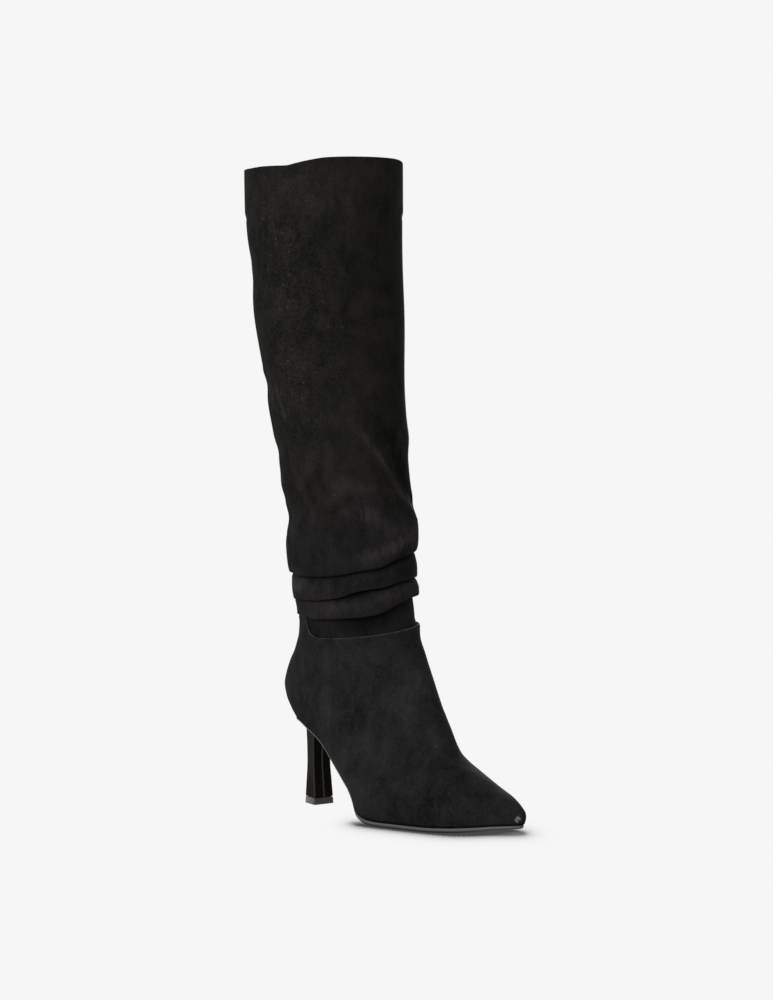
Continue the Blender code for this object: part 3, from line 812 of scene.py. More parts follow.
def upper_shape():
    """Upper: outer wall from its turned-in bottom edge to the half round top edge, and back down inside.

    The wall climbs from the feather line to the seam as a power of the row's share, so that rows crowd at the
    toe.
    """
    angle = crowded_angles(AROUND)
    low = feather_height(angle, 0.0)
    top = seam_height(angle)
    turn = np.linspace(0.0, np.pi / 2, ROWS["turn"], endpoint=False)[:, None]
    turned_height = low + TURNED_EDGE * (1 - np.cos(turn)) - TURNED_DROP
    turned_depth = np.broadcast_to(TURNED_IN * (1 - np.sin(turn)), turned_height.shape)
    climb = np.linspace(0.0, 1.0, ROWS["foot"])[:, None] ** 1.5
    wall_low = low + TURNED_EDGE - TURNED_DROP
    wall = wall_low + (top - WALL / 2 - wall_low) * climb
    swell = upper_swell(angle, wall) * ease(wall - low, 2.0, 10.0)
    rim_height, rim_depth = rim_rows(top - WALL / 2, WALL)
    rim_depth = rim_depth - swell[-1] * (1 - rim_depth / WALL)
    fall = np.linspace(0.0, 1.0, ROWS["inside"])[1:, None] ** 0.7
    inner_low = feather_height(angle, WALL)
    inside = top - WALL / 2 + (inner_low - top + WALL / 2) * fall
    height = np.concatenate([turned_height, wall, rim_height, inside])
    depth = np.concatenate([turned_depth, -swell, rim_depth, np.full(inside.shape, WALL)])
    points = skin(angle, height, depth)
    rim = np.linspace(0.0, 1.0, ROWS["rim"])[1:, None]
    # Painted highlight along the rim of the upper's top edge
    painted_edge_highlight = np.zeros(height.shape)
    painted_edge_highlight[ROWS["turn"] + ROWS["foot"]:][:len(rim)] = ease(rim, 0.05, 0.3) * (1 - ease(rim, 0.42, 0.7))
    marks = dict(
        edge=painted_edge_highlight,
        scuff=spots(TOE_SCUFF, points),
        # Painted shade along the bottom edge, where the upper meets the sole
        shade=0.8 * (1 - ease(height - low, 0.6, 2.2)),
        # nap: painted highlights along the vamp's ridge, with other spots of lighter or darker nap
        nap=spots(FOOT_LIGHT_AND_NAP, points),
        lint=np.full(height.shape, FOOT_LINT),
    )
    return closed_grid(points), marks


def shaft_shape():
    """Shaft: outer face with its rolls, half round collar edge, and a plain inner face."""
    angle = ring_angles(AROUND)
    height, swell, pressed = shaft_rows(angle)
    outside, out = shaft_outside(angle, height, swell)
    rim_height, rim_depth = rim_rows(height[-1], WALL)
    rim = skin(angle, rim_height, rim_depth - out[-1])
    fall = np.linspace(0.0, 1.0, ROWS["inside"])[1:, None]
    inside_height = height[-1] + (height[0] - height[-1]) * fall
    inside = skin(angle, inside_height, shaft_inner_depth(inside_height))
    points = np.concatenate([outside, rim, inside])
    marks = {name: np.zeros(points.shape[:2]) for name in ("edge", "scuff", "shade", "nap", "lint")}
    # pressed holds the painted shade of the creases, the rolls' lips and the band
    marks["shade"][:len(height)] = np.clip(pressed, 0, 1)
    # nap: painted highlights on rolls and fold ridges, painted shade in troughs, and some lighter or darker
    # nap
    marks["nap"][:len(height)] = soft_folds(LEG_LIGHT_AND_NAP, angle, height)
    marks["lint"][:len(height)] = soft_folds(LEG_LINT, angle, height)
    return closed_grid(points), marks


def shaft_inner_depth(height):
    """Depth of the shaft's inner face: the wall on the leg, more behind the rolls to clear the creases."""
    return WALL + BEHIND_ROLLS * (1 - ease(height, *BEHIND_ROLLS_END))


def shaft_lining_shape():
    """Lining of the shaft: a thin shell inside the wall, from under the collar facing to the tucked edge."""
    angle = ring_angles(AROUND // 2)
    height = np.linspace(LINING_TOP, LINING_LOW, 60)[:, None] + np.zeros(len(angle))
    depth = shaft_inner_depth(height) + LINING_GAP
    near, far = skin(angle, height, depth), skin(angle, height, depth + LINING_THICK)
    return closed_grid(np.concatenate([near, far[::-1]]))


def sole_loop(angle, depth, down):
    """Outline of the sole at a depth inside the feather line and a share of the way down its thickness."""
    level = feather_height(angle, 0.0)
    toe = SOLE_TOE_INSET * ease(skin(angle, level)[:, 1], 185.0, 212.0)
    points = skin(angle, level, depth + toe)
    top = read(FEATHER, "height", points[:, 1]) - FIT_GAP
    points[:, 2] = top - down * read(FEATHER, "sole", points[:, 1])
    return points


# Section of the sole's edge from the feather line to the tread: depth, share of the way down, and paint
SOLE_EDGE = table("depth down paint", [
    (3.0, 0.00, 0.0),
    (0.45, 0.00, 0.0),
    (0.15, 0.03, 0.3),
    (0.00, 0.10, 1.0),
    (-0.05, 0.26, 1.0),
    (-0.05, 0.44, 1.0),
    (0.00, 0.56, 0.9),
    (0.14, 0.64, 0.1),
    (0.22, 0.72, 0.0),
    (0.45, 0.84, 0.0),
    (0.90, 0.95, 0.0),
    (1.60, 1.00, 0.0),
    (4.20, 1.00, 0.0),
    (4.50, 0.90, 0.0),
    (5.30, 0.90, 0.0),
    (5.60, 1.00, 0.0),
])


def outsole_shape():
    """Sole: loops from its table of depth and drop, closed above and below by strips from side to side."""
    angle = ring_angles(SOLE_AROUND)
    loops = [sole_loop(angle, depth, down) for depth, down in zip(SOLE_EDGE["depth"], SOLE_EDGE["down"])]
    paint = np.repeat(SOLE_EDGE["paint"], SOLE_AROUND)
    return closed_grid(np.stack(loops), "strips"), dict(paint=paint)


def insole_shape():
    """Insole: a slab with softened edges inside the upper's wall, lifted off the sole."""
    angle = ring_angles(SOLE_AROUND)
    level = feather_height(angle, TUCK)
    loops = []
    for depth, up in ((0.4, 0.0), (0.0, 0.25), (0.0, 0.6875), (0.3, 0.9375), (0.9, 1.0)):
        points = skin(angle, level, TUCK + depth)
        points[:, 2] = read(FEATHER, "height", points[:, 1]) + INSOLE_LIFT + up * INSOLE_THICK
        loops.append(points)
    return closed_grid(np.stack(loops), "strips")


def rounded_corners(corners, radius, steps):
    """Outline through the corners of a convex polygon, each an arc with a point on the flat beside it."""
    corners = np.array(corners, float)
    before = unit(np.roll(corners, 1, 0) - corners)
    after = unit(np.roll(corners, -1, 0) - corners)
    half = np.arccos(np.clip((before * after).sum(-1), -1, 1)) / 2
    reach = (radius / np.tan(half))[:, None]
    centre = corners + unit(before + after) * (radius / np.sin(half))[:, None]
    start, end = corners + before * reach - centre, corners + after * reach - centre
    share = np.linspace(0.0, 1.0, steps)
    arcs = [centre + unit(start + (end - start) * t) * radius for t in share]
    flat = 0.5
    points = [corners + before * (reach + flat), *arcs, corners + after * (reach + flat)]
    return np.stack(points, 1).reshape(-1, 2)


def heel_outline(height, inset=0.0):
    """Section of the heel: a trapezium with rounded corners, wider at the breast, which has a fine seam."""
    middle, breast, back, depth = (float(read(HEEL, name, height)) for name in list(HEEL)[1:])
    breast, back, depth = breast - inset, back - inset, depth - inset
    corners = [(-back, -depth), (back, -depth), (breast, depth), (-breast, depth)]
    outline = rounded_corners(corners, size("heel_corner"), 7)
    across = np.array([1.2, 0.8, 0.4, 0.0, -0.4, -0.8, -1.2])
    seam = np.column_stack([across, depth + size("heel_seam") * HEEL_SEAM])
    last_corner = len(outline) * 3 // 4
    return np.concatenate([outline[:last_corner], seam, outline[last_corner:]]) + np.array([0.0, middle])


def heel_highlight_marks():
    """Painted highlight: 1 along the breast's seam, less on the corners, 0 elsewhere, for the points of one
    section.
    """
    corner = np.array([0.0, 0.0, 0.2, 0.7, 1.0, 0.7, 0.2, 0.0, 0.0])
    back, breast = BACK_CORNER_HIGHLIGHT * corner, BREAST_CORNER_HIGHLIGHT * corner
    return np.concatenate([back, back, breast, HEEL_SEAM, breast])


def heel_shape():
    """Heel: sections stacked from the top lift to the underside of the sole, which the last ones follow."""
    share = np.concatenate([[0.0, 0.004, 0.012], np.linspace(0.03, 1.0, 44)])
    inset = np.concatenate([[0.35, 0.1, 0.0], np.zeros(44)])
    bottom = LIFT_THICK + FIT_GAP
    rings = []
    for part, narrower in zip(share, inset):
        flat = heel_outline(bottom + part * (HEEL["height"][-1] - bottom), narrower)
        under = read(FEATHER, "height", flat[:, 1]) - read(FEATHER, "sole", flat[:, 1]) - 2 * FIT_GAP
        rings.append(np.column_stack([flat, bottom + part * (under - bottom)]))
    # The edge mark is a painted highlight on the heel's corners and the seam of its breast
    return closed_grid(np.stack(rings), "polygon"), dict(edge=np.tile(heel_highlight_marks(), len(rings)))


def top_lift_shape():
    """Top lift: the heel's lowest sections with softened edges, its back and sides painted paler as if lit.
    """
    levels = ((0.0, 0.5), (0.15, 0.15), (0.5, 0.0), (2.5, 0.0), (4.5, 0.0), (4.85, 0.12), (LIFT_THICK, 0.4))
    rings = np.stack([ring(*heel_outline(height, inset).T, height) for height, inset in levels])
    return closed_grid(rings, "polygon"), dict(paint=1 - ease(rings[..., 1], 2.6, 4.4))


def zip_point(across, height, out):
    """Point beside the zip's middle line, across the form by so many millimetres and out of it."""
    across, height, out = np.broadcast_arrays(across, height, out)
    reach = half_width(np.full(height.shape, 0.5), height, MEDIAL)
    return skin(ZIP_ANGLE + across / reach, height, -out)


def strip_along_zip(section, low, high, rows):
    """A closed section of (across, out) points carried up the zip's line."""
    across, out = np.array(section, float).T
    height = np.linspace(low, high, rows)[:, None]
    return closed_grid(zip_point(across, height, out), "polygon")


LIP_SECTION = (
    (2.7, 0.25), (2.45, 0.6), (2.5, 1.1), (2.9, 1.5), (3.6, 1.68), (4.6, 1.62), (5.4, 1.45), (6.4, 1.3),
    (7.6, 1.0), (8.8, 0.45), (9.4, 0.05), (8.8, -0.1), (6.0, -0.1), (3.6, -0.05),
)
TAPE_SECTION = ((-4.6, 0.05), (4.6, 0.05), (4.6, 0.5), (2.4, 0.62), (-2.4, 0.62), (-4.6, 0.5))


def zip_lips_shape():
    """Turned suede edges on both sides of the chain."""
    sections = ([(side * across, out) for across, out in LIP_SECTION] for side in (1, -1))
    low, high = ZIP_BOTTOM - LIP_PAST_BOTTOM, ZIP_TOP + LIP_PAST_TOP
    return joined(strip_along_zip(section, low, high, 130) for section in sections)


def zip_teeth_shape():
    """Two rows of nylon coil turns that interlock: each turn is a short rounded bar across the tape."""
    height = np.arange(ZIP_BOTTOM + 1.0, ZIP_TOP - 1.0, size("tooth_pitch") / 2)[:, None, None]
    side = np.where(np.arange(len(height)) % 2 == 0, 1.0, -1.0)[:, None, None]
    along = np.array([-1.0, -0.75, 0.0, 0.75, 1.0])[:, None]
    thick = np.array([0.45, 0.95, 1.0, 0.95, 0.45])[:, None]
    turn = ring_angles(8)
    turns = zip_point(0.75 * side + 1.55 * along, height + 0.36 * thick * np.cos(turn),
                      1.1 + 0.5 * thick * np.sin(turn))
    return joined(closed_grid(bar, "polygon") for bar in turns)


def zip_axes():
    """Place of the slider: point on the form, and axes forward along it, outwards and up along it."""
    turn, rise = 0.02, 2.0
    point = skin(ZIP_ANGLE, SLIDER_HEIGHT)
    up = unit(skin(ZIP_ANGLE, SLIDER_HEIGHT + rise) - skin(ZIP_ANGLE, SLIDER_HEIGHT - rise))
    along = skin(ZIP_ANGLE - turn, SLIDER_HEIGHT) - skin(ZIP_ANGLE + turn, SLIDER_HEIGHT)
    along = unit(along * np.array([1.0, 1.0, 0.0]))
    out = unit(np.cross(up, along))
    return point, along, out, np.cross(along, out)


def placed(local, origin, along, out, up):
    """Points given along three axes, as points of the boot."""
    return origin + local[..., :1] * along + local[..., 1:2] * out + local[..., 2:] * up


def superellipse(half_x, half_y, power, count):
    """Closed outline with |x / half_x| and |y / half_y|, each to the power, adding up to one."""
    turn = ring_angles(count)
    c, s = np.cos(turn), np.sin(turn)
    x = half_x * np.sign(c) * np.abs(c) ** (2 / power)
    y = half_y * np.sign(s) * np.abs(s) ** (2 / power)
    return np.stack([x, y], -1)


def slider_shape():
    """Slider: a domed plate that narrows downwards, two rounded ears and the pin between them."""
    flat = superellipse(4.2, 5.5, 4.0, 48)
    narrow = 1 - 0.20 * ease(-flat[:, 1], -2.0, 5.5)
    dome = ((2.1, 0.93), (2.3, 0.99), (2.6, 1.0), (3.2, 1.0), (3.7, 0.94), (4.0, 0.84), (4.1, 0.66))
    stacks = [[ring(flat[:, 0] * narrow * scale, out, flat[:, 1] * scale) for out, scale in dome]]
    ear = superellipse(1.6, 2.0, 2.6, 28)
    thickness = ((-0.6, 0.86), (-0.42, 1.0), (0.42, 1.0), (0.6, 0.86))
    for side in (-3.2, 3.2):
        stacks.append([ring(side + across, 5.3 + ear[:, 1] * scale, HINGE_UP + ear[:, 0] * scale)
                       for across, scale in thickness])
    turn = ring_angles(16)
    pin_out, pin_up = HINGE_OUT + 0.5 * np.cos(turn), HINGE_UP + 0.5 * np.sin(turn)
    stacks.append([ring(x, pin_out, pin_up) for x in (-3.0, 3.0)])
    axes = zip_axes()
    return joined(closed_grid(placed(np.stack(stack), *axes), "polygon") for stack in stacks)


def pull_shape():
    """Pull: a rolled eye round the pin and a flat tab with a slot, hanging straight down."""
    point, along, out, up = zip_axes()
    hinge = point + out * HINGE_OUT + up * HINGE_UP
    upright = np.array([0.0, 0.0, 1.0])
    axes = (hinge, along, np.cross(upright, along), upright)
    turn = ring_angles(32)
    rolled = ((0.85, -1.9), (1.0, -2.15), (1.35, -2.15), (1.5, -1.9), (1.5, 1.9), (1.35, 2.15), (1.0, 2.15),
              (0.85, 1.9))
    eye = [ring(x, radius * np.cos(turn), radius * np.sin(turn)) for radius, x in rolled]
    middle, half_long, slot_down = -11.1, 9.9, 5.2
    edge = superellipse(2.2, half_long, 5.0, 64)
    taper = 1 - 0.22 * ease(edge[:, 1], -2.0, half_long)
    slot = superellipse(0.75, 2.6, 2.6, 64)
    tab = []
    for inset, y in ((0.25, -0.6), (0.0, -0.35), (0.0, 0.35), (0.25, 0.6)):
        shape = edge - unit(edge) * inset
        tab.append(ring(shape[:, 0] * taper, y, shape[:, 1] + middle))
    for wider, y in ((0.2, 0.6), (0.0, 0.4), (0.0, -0.4), (0.2, -0.6)):
        shape = slot + unit(slot) * wider
        tab.append(ring(shape[:, 0], y, shape[:, 1] + middle - slot_down))
    return joined(closed_grid(placed(np.stack(stack), *axes)) for stack in (eye, tab))


def outward_on(surface, angle, height):
    """Outward directions of a surface of angle and height, from its two slopes."""
    turn, rise = 0.004, 0.25
    round_it = surface(angle + turn, height) - surface(angle - turn, height)
    up_it = surface(angle, height + rise) - surface(angle, height - rise)
    return unit(np.cross(round_it, up_it))


def foot_surface(angle, height):
    """Outer face of the upper near its top edge."""
    return skin(angle, height, -upper_swell(angle, height))


def zip_surface(across):
    """The suede lip beside the zip as a surface of a shift in angle and a height."""
    def surface(shift, height):
        reach = half_width(np.full(np.shape(height), 0.5), height, MEDIAL)
        return zip_point(across + shift * reach, height, LIP_STITCHES_OUT)
    return surface


def seam_stitches_shape():
    """Stitches along the upper's top edge, a set distance below it."""
    angle = ring_angles(1440)
    height = seam_height(angle) - SEAM_STITCHES_BELOW
    points = foot_surface(angle, height)
    return stitch_row(points, outward_on(foot_surface, angle, height))


def zip_stitches_shape():
    """Stitches along both suede lips of the zip."""
    height = np.linspace(TAPE_LOW, TAPE_HIGH, 700)
    rows = []
    for across in (-LIP_STITCHES_ACROSS, LIP_STITCHES_ACROSS):
        surface = zip_surface(across)
        level = np.zeros_like(height)
        rows.append(stitch_row(surface(level, height), outward_on(surface, level, height), False))
    return joined(rows)


def floor_shape(towards):
    """Floor: a disc of rings round the ball of the foot, with a painted soft shade near the sole at each
    point.

    The shade falls off as exp of minus the distance to the nearest spot of the sole over a set length. It is
    drawn out in the direction towards, as if lit from behind, so that way counts less. Each spot counts less
    the higher it stands off the floor, and the shade of the sprung toe is thrown back.
    """
    columns = 240
    turn = ring_angles(columns)
    radius = np.linspace(2.0, FLOOR_RADIUS, 72)[:, None]
    across, along = FLOOR_MIDDLE
    points = ring(across + radius * np.cos(turn), along + radius * np.sin(turn), 0.0).reshape(-1, 3)
    faces = [*map(tuple, loop_faces(len(radius), columns)[:, ::-1].tolist()), tuple(range(columns))]
    angle = ring_angles(160)
    under = np.concatenate([sole_loop(angle, depth, 1.0) for depth in np.arange(0.5, 30.0, 4.0)])
    at_toe = ease(under[:, 1], 150.0, 200.0)
    strength = 1 - ease(under[:, 2] - 3.0 * at_toe, 1.0, 16.0)
    ahead = np.array([np.cos(towards), np.sin(towards)])
    aside = np.array([-ahead[1], ahead[0]])
    thrown = under[:, :2] - ahead * (under[:, 2] * at_toe * CONTACT_LEAN)[:, None]
    offset = points[:, None, :2] - thrown[None]
    away = np.hypot(offset @ aside, offset @ ahead / CONTACT_STRETCH)
    contact = (strength * np.exp(-np.maximum(away - CONTACT_EDGE, 0.0) / CONTACT_FALL)).max(1)
    from_middle = np.linalg.norm(points[:, :2] - FLOOR_MIDDLE, axis=1)
    rim = 1 - ease(from_middle, 0.75 * FLOOR_RADIUS, FLOOR_RADIUS - 2.0)
    return points, faces, CONTACT_SHADE * contact * rim


def connect(tree, node, links):
    """Join outputs of other nodes to a node's sockets, given by name or number."""
    for name, source in links.items():
        tree.links.new(source, node.inputs[name])


def add_node(tree, kind, settings=None, links=None):
    """Outputs of a new shader node: settings fill its sockets or properties, links join outputs to it."""
    node = tree.nodes.new("ShaderNode" + kind)
    for name, value in (settings or {}).items():
        if isinstance(name, str) and hasattr(node, name) and name not in node.inputs:
            setattr(node, name, value)
        else:
            node.inputs[name].default_value = value
    connect(tree, node, links or {})
    return node.outputs


def new_material(name, settings):
    """Material with one Principled shader whose own sockets hold the settings."""
    material = bpy.data.materials.new(name)
    material.use_nodes = True
    tree = material.node_tree
    shader = tree.nodes["Principled BSDF"]
    for socket, value in settings.items():
        shader.inputs[socket].default_value = value
    return material, tree, shader


def black_suede(colours, name, dark, light, light_low):
    """Black suede, a split hide brushed to a nap: dull, softly mottled where the nap lies either way.

    It gives the eye a dry, even dark with lighter patches, fine grain, a fuzzy rim and a few specks of lint;
    its marks lay painted shade and painted highlights over it.
    The real fibres, about 0.1 mm, are too fine to show, so the grain is drawn at about a millimetre.
    """
    material, tree, shader = new_material(name, {
        "Sheen Weight": 0.012, "Sheen Roughness": 0.4, "Sheen Tint": (1.0, 0.98, 0.96, 1.0),
        "Specular IOR Level": 0.012, "IOR": 1.45,
    })
    place = add_node(tree, "TexCoord")["Object"]
    brushed = add_node(tree, "Mapping", {"Scale": (1.0, 1.0, 0.5)}, {"Vector": place})[0]
    # Clouds of the nap: width in metres, detail, distortion, and the place they follow
    clouds = (
        (0.024, 3.0, 0.6, place),
        (0.006, 3.0, 0.3, brushed),
        (0.0011, 2.0, 0.0, place),
        (0.0034, 2.0, 0.8, brushed),
        (0.0024, 1.0, 1.6, place),
    )
    patch, streak, grain, wrinkle, curls = (
        add_node(tree, "TexNoise", {"Scale": 1 / wide, "Detail": detail, "Distortion": bent},
                 {"Vector": where})["Fac"]
        for wide, detail, bent, where in clouds
    )
    painted_light_and_nap, clings, shade, edge, scuff = (
        add_node(tree, "Attribute", {"attribute_name": mark})["Fac"]
        for mark in ("nap", "lint", "shade", "edge", "scuff")
    )
    mottle = add_node(tree, "Mix", {0: 0.38}, {2: patch, 3: streak})[0]
    nap = add_node(tree, "Mix", {0: 0.36}, {2: mottle, 3: grain})[0]
    strokes = add_node(tree, "MapRange", {"From Min": 0.34, "From Max": 0.66, "To Min": 0.04, "To Max": 0.16},
                       {"Value": wrinkle})[0]
    # The nap mark puts painted highlights and painted shade into the tone, as well as lighter or darker nap
    lean = add_node(tree, "Math", {"operation": "MULTIPLY_ADD"}, {0: painted_light_and_nap, 1: strokes, 2: nap})[0]
    fuzz = add_node(tree, "MapRange", {"From Min": 0.30, "From Max": 0.70, "To Min": -0.055, "To Max": 0.065},
                    {"Value": curls})[0]
    lean = add_node(tree, "Math", {"operation": "MULTIPLY_ADD"}, {0: clings, 1: fuzz, 2: lean})[0]
    tone = add_node(tree, "MapRange", {"From Min": 0.35, "From Max": 0.99, "To Max": 2.0}, {"Value": lean})[0]
    up = add_node(tree, "SeparateXYZ", None, {0: place})["Z"]
    low = add_node(tree, "MapRange", {"From Min": 0.26, "From Max": 0.19}, {"Value": up})[0]
    lit = add_node(tree, "Mix", {"data_type": "RGBA", 6: light, 7: light_low}, {0: low})[2]
    suede = add_node(tree, "Mix", {"data_type": "RGBA", "clamp_factor": False, 6: dark}, {0: tone, 7: lit})[2]
    # Noise that beads the painted highlight on the upper's top edge
    beading = add_node(tree, "MapRange", {"From Min": 0.40, "From Max": 0.60, "To Min": 0.45},
                      {"Value": streak})[0]
    edge_highlight = add_node(tree, "Math", {"operation": "MULTIPLY"}, {0: edge, 1: beading})[0]
    rubbed = add_node(tree, "Math", {"operation": "MULTIPLY_ADD", 1: 0.6}, {0: grain, 2: scuff})[0]
    rubbed = add_node(tree, "MapRange", {"From Min": 0.65, "From Max": 1.25}, {"Value": rubbed})[0]
    lint = add_node(tree, "TexVoronoi", {"Scale": 1 / 0.0014}, {"Vector": place})
    flock = add_node(tree, "MapRange", {"From Min": 0.44, "From Max": 0.62, "To Max": 0.12},
                     {"Value": mottle})[0]
    flock = add_node(tree, "Math", {"operation": "MULTIPLY"}, {0: flock, 1: clings})[0]
    chosen = add_node(tree, "Math", {"operation": "LESS_THAN"}, {0: lint["Color"], 1: flock})[0]
    speck = add_node(tree, "MapRange", {"From Min": 0.42, "From Max": 0.15}, {"Value": lint["Distance"]})[0]
    speck = add_node(tree, "Math", {"operation": "MULTIPLY"}, {0: speck, 1: chosen})[0]
    # What lies over the plain suede, in order: where it shows, and its colour
    # The first is painted shade, the second a painted highlight on the upper's top edge
    layers = (
        (shade, colours.painted_crease_shade),
        (edge_highlight, colours.painted_edge_highlight),
        (rubbed, colours.scuff),
        (speck, colours.lint),
    )
    for share, colour in layers:
        suede = add_node(tree, "Mix", {"data_type": "RGBA", 7: colour}, {0: share, 6: suede})[2]
    dull = add_node(tree, "MapRange", {"To Min": 0.95, "To Max": 0.80}, {"Value": tone})[0]
    bump = add_node(tree, "Bump", {"Strength": 0.45, "Distance": 0.0005}, {"Height": nap})[0]
    connect(tree, shader, {"Base Color": suede, "Roughness": dull, "Normal": bump})
    return material


def heel_lacquer(colours, name):
    """Lacquered ABS, moulded and sprayed: deep black under a hard gloss whose reflections ripple faintly."""
    material, tree, shader = new_material(name, {
        "IOR": 1.5, "Specular IOR Level": 0.012, "Coat Weight": 0.004, "Coat Roughness": 0.04,
    })
    place = add_node(tree, "TexCoord")["Object"]
    drawn_out = add_node(tree, "Mapping", {"Scale": (1.0, 1.0, 0.12)}, {"Vector": place})[0]
    ripple = add_node(tree, "TexNoise", {"Scale": 1 / 0.004, "Detail": 1.0}, {"Vector": drawn_out})["Fac"]
    # Browner streaks drawn up the heel: partly uneven lacquer, partly painted reflection of the gloss
    lacquer = add_node(tree, "Mix", {"data_type": "RGBA", 6: colours.heel, 7: colours.heel_streak},
                       {0: ripple})[2]
    # Painted highlight on the corners and the seam of the breast, where the edge mark is set
    edge = add_node(tree, "Attribute", {"attribute_name": "edge"})["Fac"]
    worn = add_node(tree, "Mix", {"data_type": "RGBA", 7: colours.heel_edge_highlight}, {0: edge, 6: lacquer})[2]
    gloss = add_node(tree, "MapRange", {"To Min": 0.05, "To Max": 0.13}, {"Value": ripple})[0]
    bump = add_node(tree, "Bump", {"Strength": 0.12, "Distance": 0.0004}, {"Height": ripple})[0]
    connect(tree, shader, {"Base Color": worn, "Roughness": gloss, "Normal": bump})
    return material


def grey_rubber(colours, name, line):
    """Grey moulded rubber, buffed at the edge: matt, a little dusty, with a paler line where painted; on the
    lift, painted light.
    """
    material, tree, shader = new_material(name, {"IOR": 1.5, "Specular IOR Level": 0.35})
    place = add_node(tree, "TexCoord")["Object"]
    dust = add_node(tree, "TexNoise", {"Scale": 1 / 0.005, "Detail": 4.0}, {"Vector": place})["Fac"]
    grit = add_node(tree, "TexNoise", {"Scale": 1 / 0.0006, "Detail": 1.0}, {"Vector": place})["Fac"]
    rubber = add_node(tree, "Mix", {"data_type": "RGBA", 6: colours.rubber_dark, 7: colours.rubber},
                      {0: dust})[2]
    paint = add_node(tree, "Attribute", {"attribute_name": "paint"})["Fac"]
    painted = add_node(tree, "Mix", {"data_type": "RGBA", 7: line}, {0: paint, 6: rubber})[2]
    matt = add_node(tree, "MapRange", {"To Min": 0.5, "To Max": 0.75}, {"Value": dust})[0]
    bump = add_node(tree, "Bump", {"Strength": 0.2, "Distance": 0.0002}, {"Height": grit})[0]
    connect(tree, shader, {"Base Color": painted, "Roughness": matt, "Normal": bump})
    return material


def lining_leather(colours, name):
    """Lining leather, drum-dyed pigskin: smooth, dull, with fine pores about 1.5 mm apart."""
    material, tree, shader = new_material(name, {"IOR": 1.45, "Specular IOR Level": 0.3})
    place = add_node(tree, "TexCoord")["Object"]
    cloud = add_node(tree, "TexNoise", {"Scale": 1 / 0.02, "Detail": 3.0}, {"Vector": place})["Fac"]
    pores = add_node(tree, "TexVoronoi", {"Scale": 1 / 0.0015}, {"Vector": place})["Distance"]
    leather = add_node(tree, "Mix", {"data_type": "RGBA", 6: colours.lining_dark, 7: colours.lining},
                       {0: cloud})[2]
    matt = add_node(tree, "MapRange", {"To Min": 0.5, "To Max": 0.7}, {"Value": cloud})[0]
    bump = add_node(tree, "Bump", {"Strength": 0.3, "Distance": 0.0002}, {"Height": pores})[0]
    connect(tree, shader, {"Base Color": leather, "Roughness": matt, "Normal": bump})
    return material


def twisted(colours, name, pitch, light, rough):
    """Twisted or coiled polymer thread: a satin with fine ridges at about the pitch of the twist or weave."""
    material, tree, shader = new_material(name, {"IOR": 1.5, "Specular IOR Level": 0.15})
    place = add_node(tree, "TexCoord")["Object"]
    ridges = add_node(tree, "TexWave", {"Scale": 0.31 / pitch, "bands_direction": "DIAGONAL"},
                      {"Vector": place})["Fac"]
    thread = add_node(tree, "Mix", {"data_type": "RGBA", 6: colours.heel, 7: light}, {0: ridges})[2]
    matt = add_node(tree, "MapRange", {"To Min": rough, "To Max": rough + 0.15}, {"Value": ridges})[0]
    bump = add_node(tree, "Bump", {"Strength": 0.4, "Distance": 0.0001}, {"Height": ridges})[0]
    connect(tree, shader, {"Base Color": thread, "Roughness": matt, "Normal": bump})
    return material


def plated_zinc(colours, name):
    """Die-cast zinc with black plating: a dark metal, satin with faint handling marks."""
    material, tree, shader = new_material(name, {"Metallic": 1.0})
    place = add_node(tree, "TexCoord")["Object"]
    marks = add_node(tree, "TexNoise", {"Scale": 1 / 0.0015, "Detail": 4.0}, {"Vector": place})["Fac"]
    plating = add_node(tree, "Mix", {"data_type": "RGBA", 6: colours.metal_dark, 7: colours.metal},
                       {0: marks})[2]
    satin = add_node(tree, "MapRange", {"To Min": 0.22, "To Max": 0.40}, {"Value": marks})[0]
    connect(tree, shader, {"Base Color": plating, "Roughness": satin})
    return material


def floor_shadow(colours, name):
    """Painted soft shadow on a clear floor: a dark film close to the sole that clears into the light round
    it.
    """
    material, tree, shader = new_material(name, {
        "Base Color": colours.floor_shade, "Roughness": 0.9, "Specular IOR Level": 0.0,
    })
    contact = add_node(tree, "Attribute", {"attribute_name": "contact"})["Fac"]
    connect(tree, shader, {"Alpha": contact})
    return material


def colour_property(name, description, hex_colour):
    """A colour that a user can change, with its default given as sRGB hex."""
    return bpy.props.FloatVectorProperty(name=name, description=description, subtype="COLOR", size=4,
                                         min=0.0, max=1.0, default=linear(hex_colour))


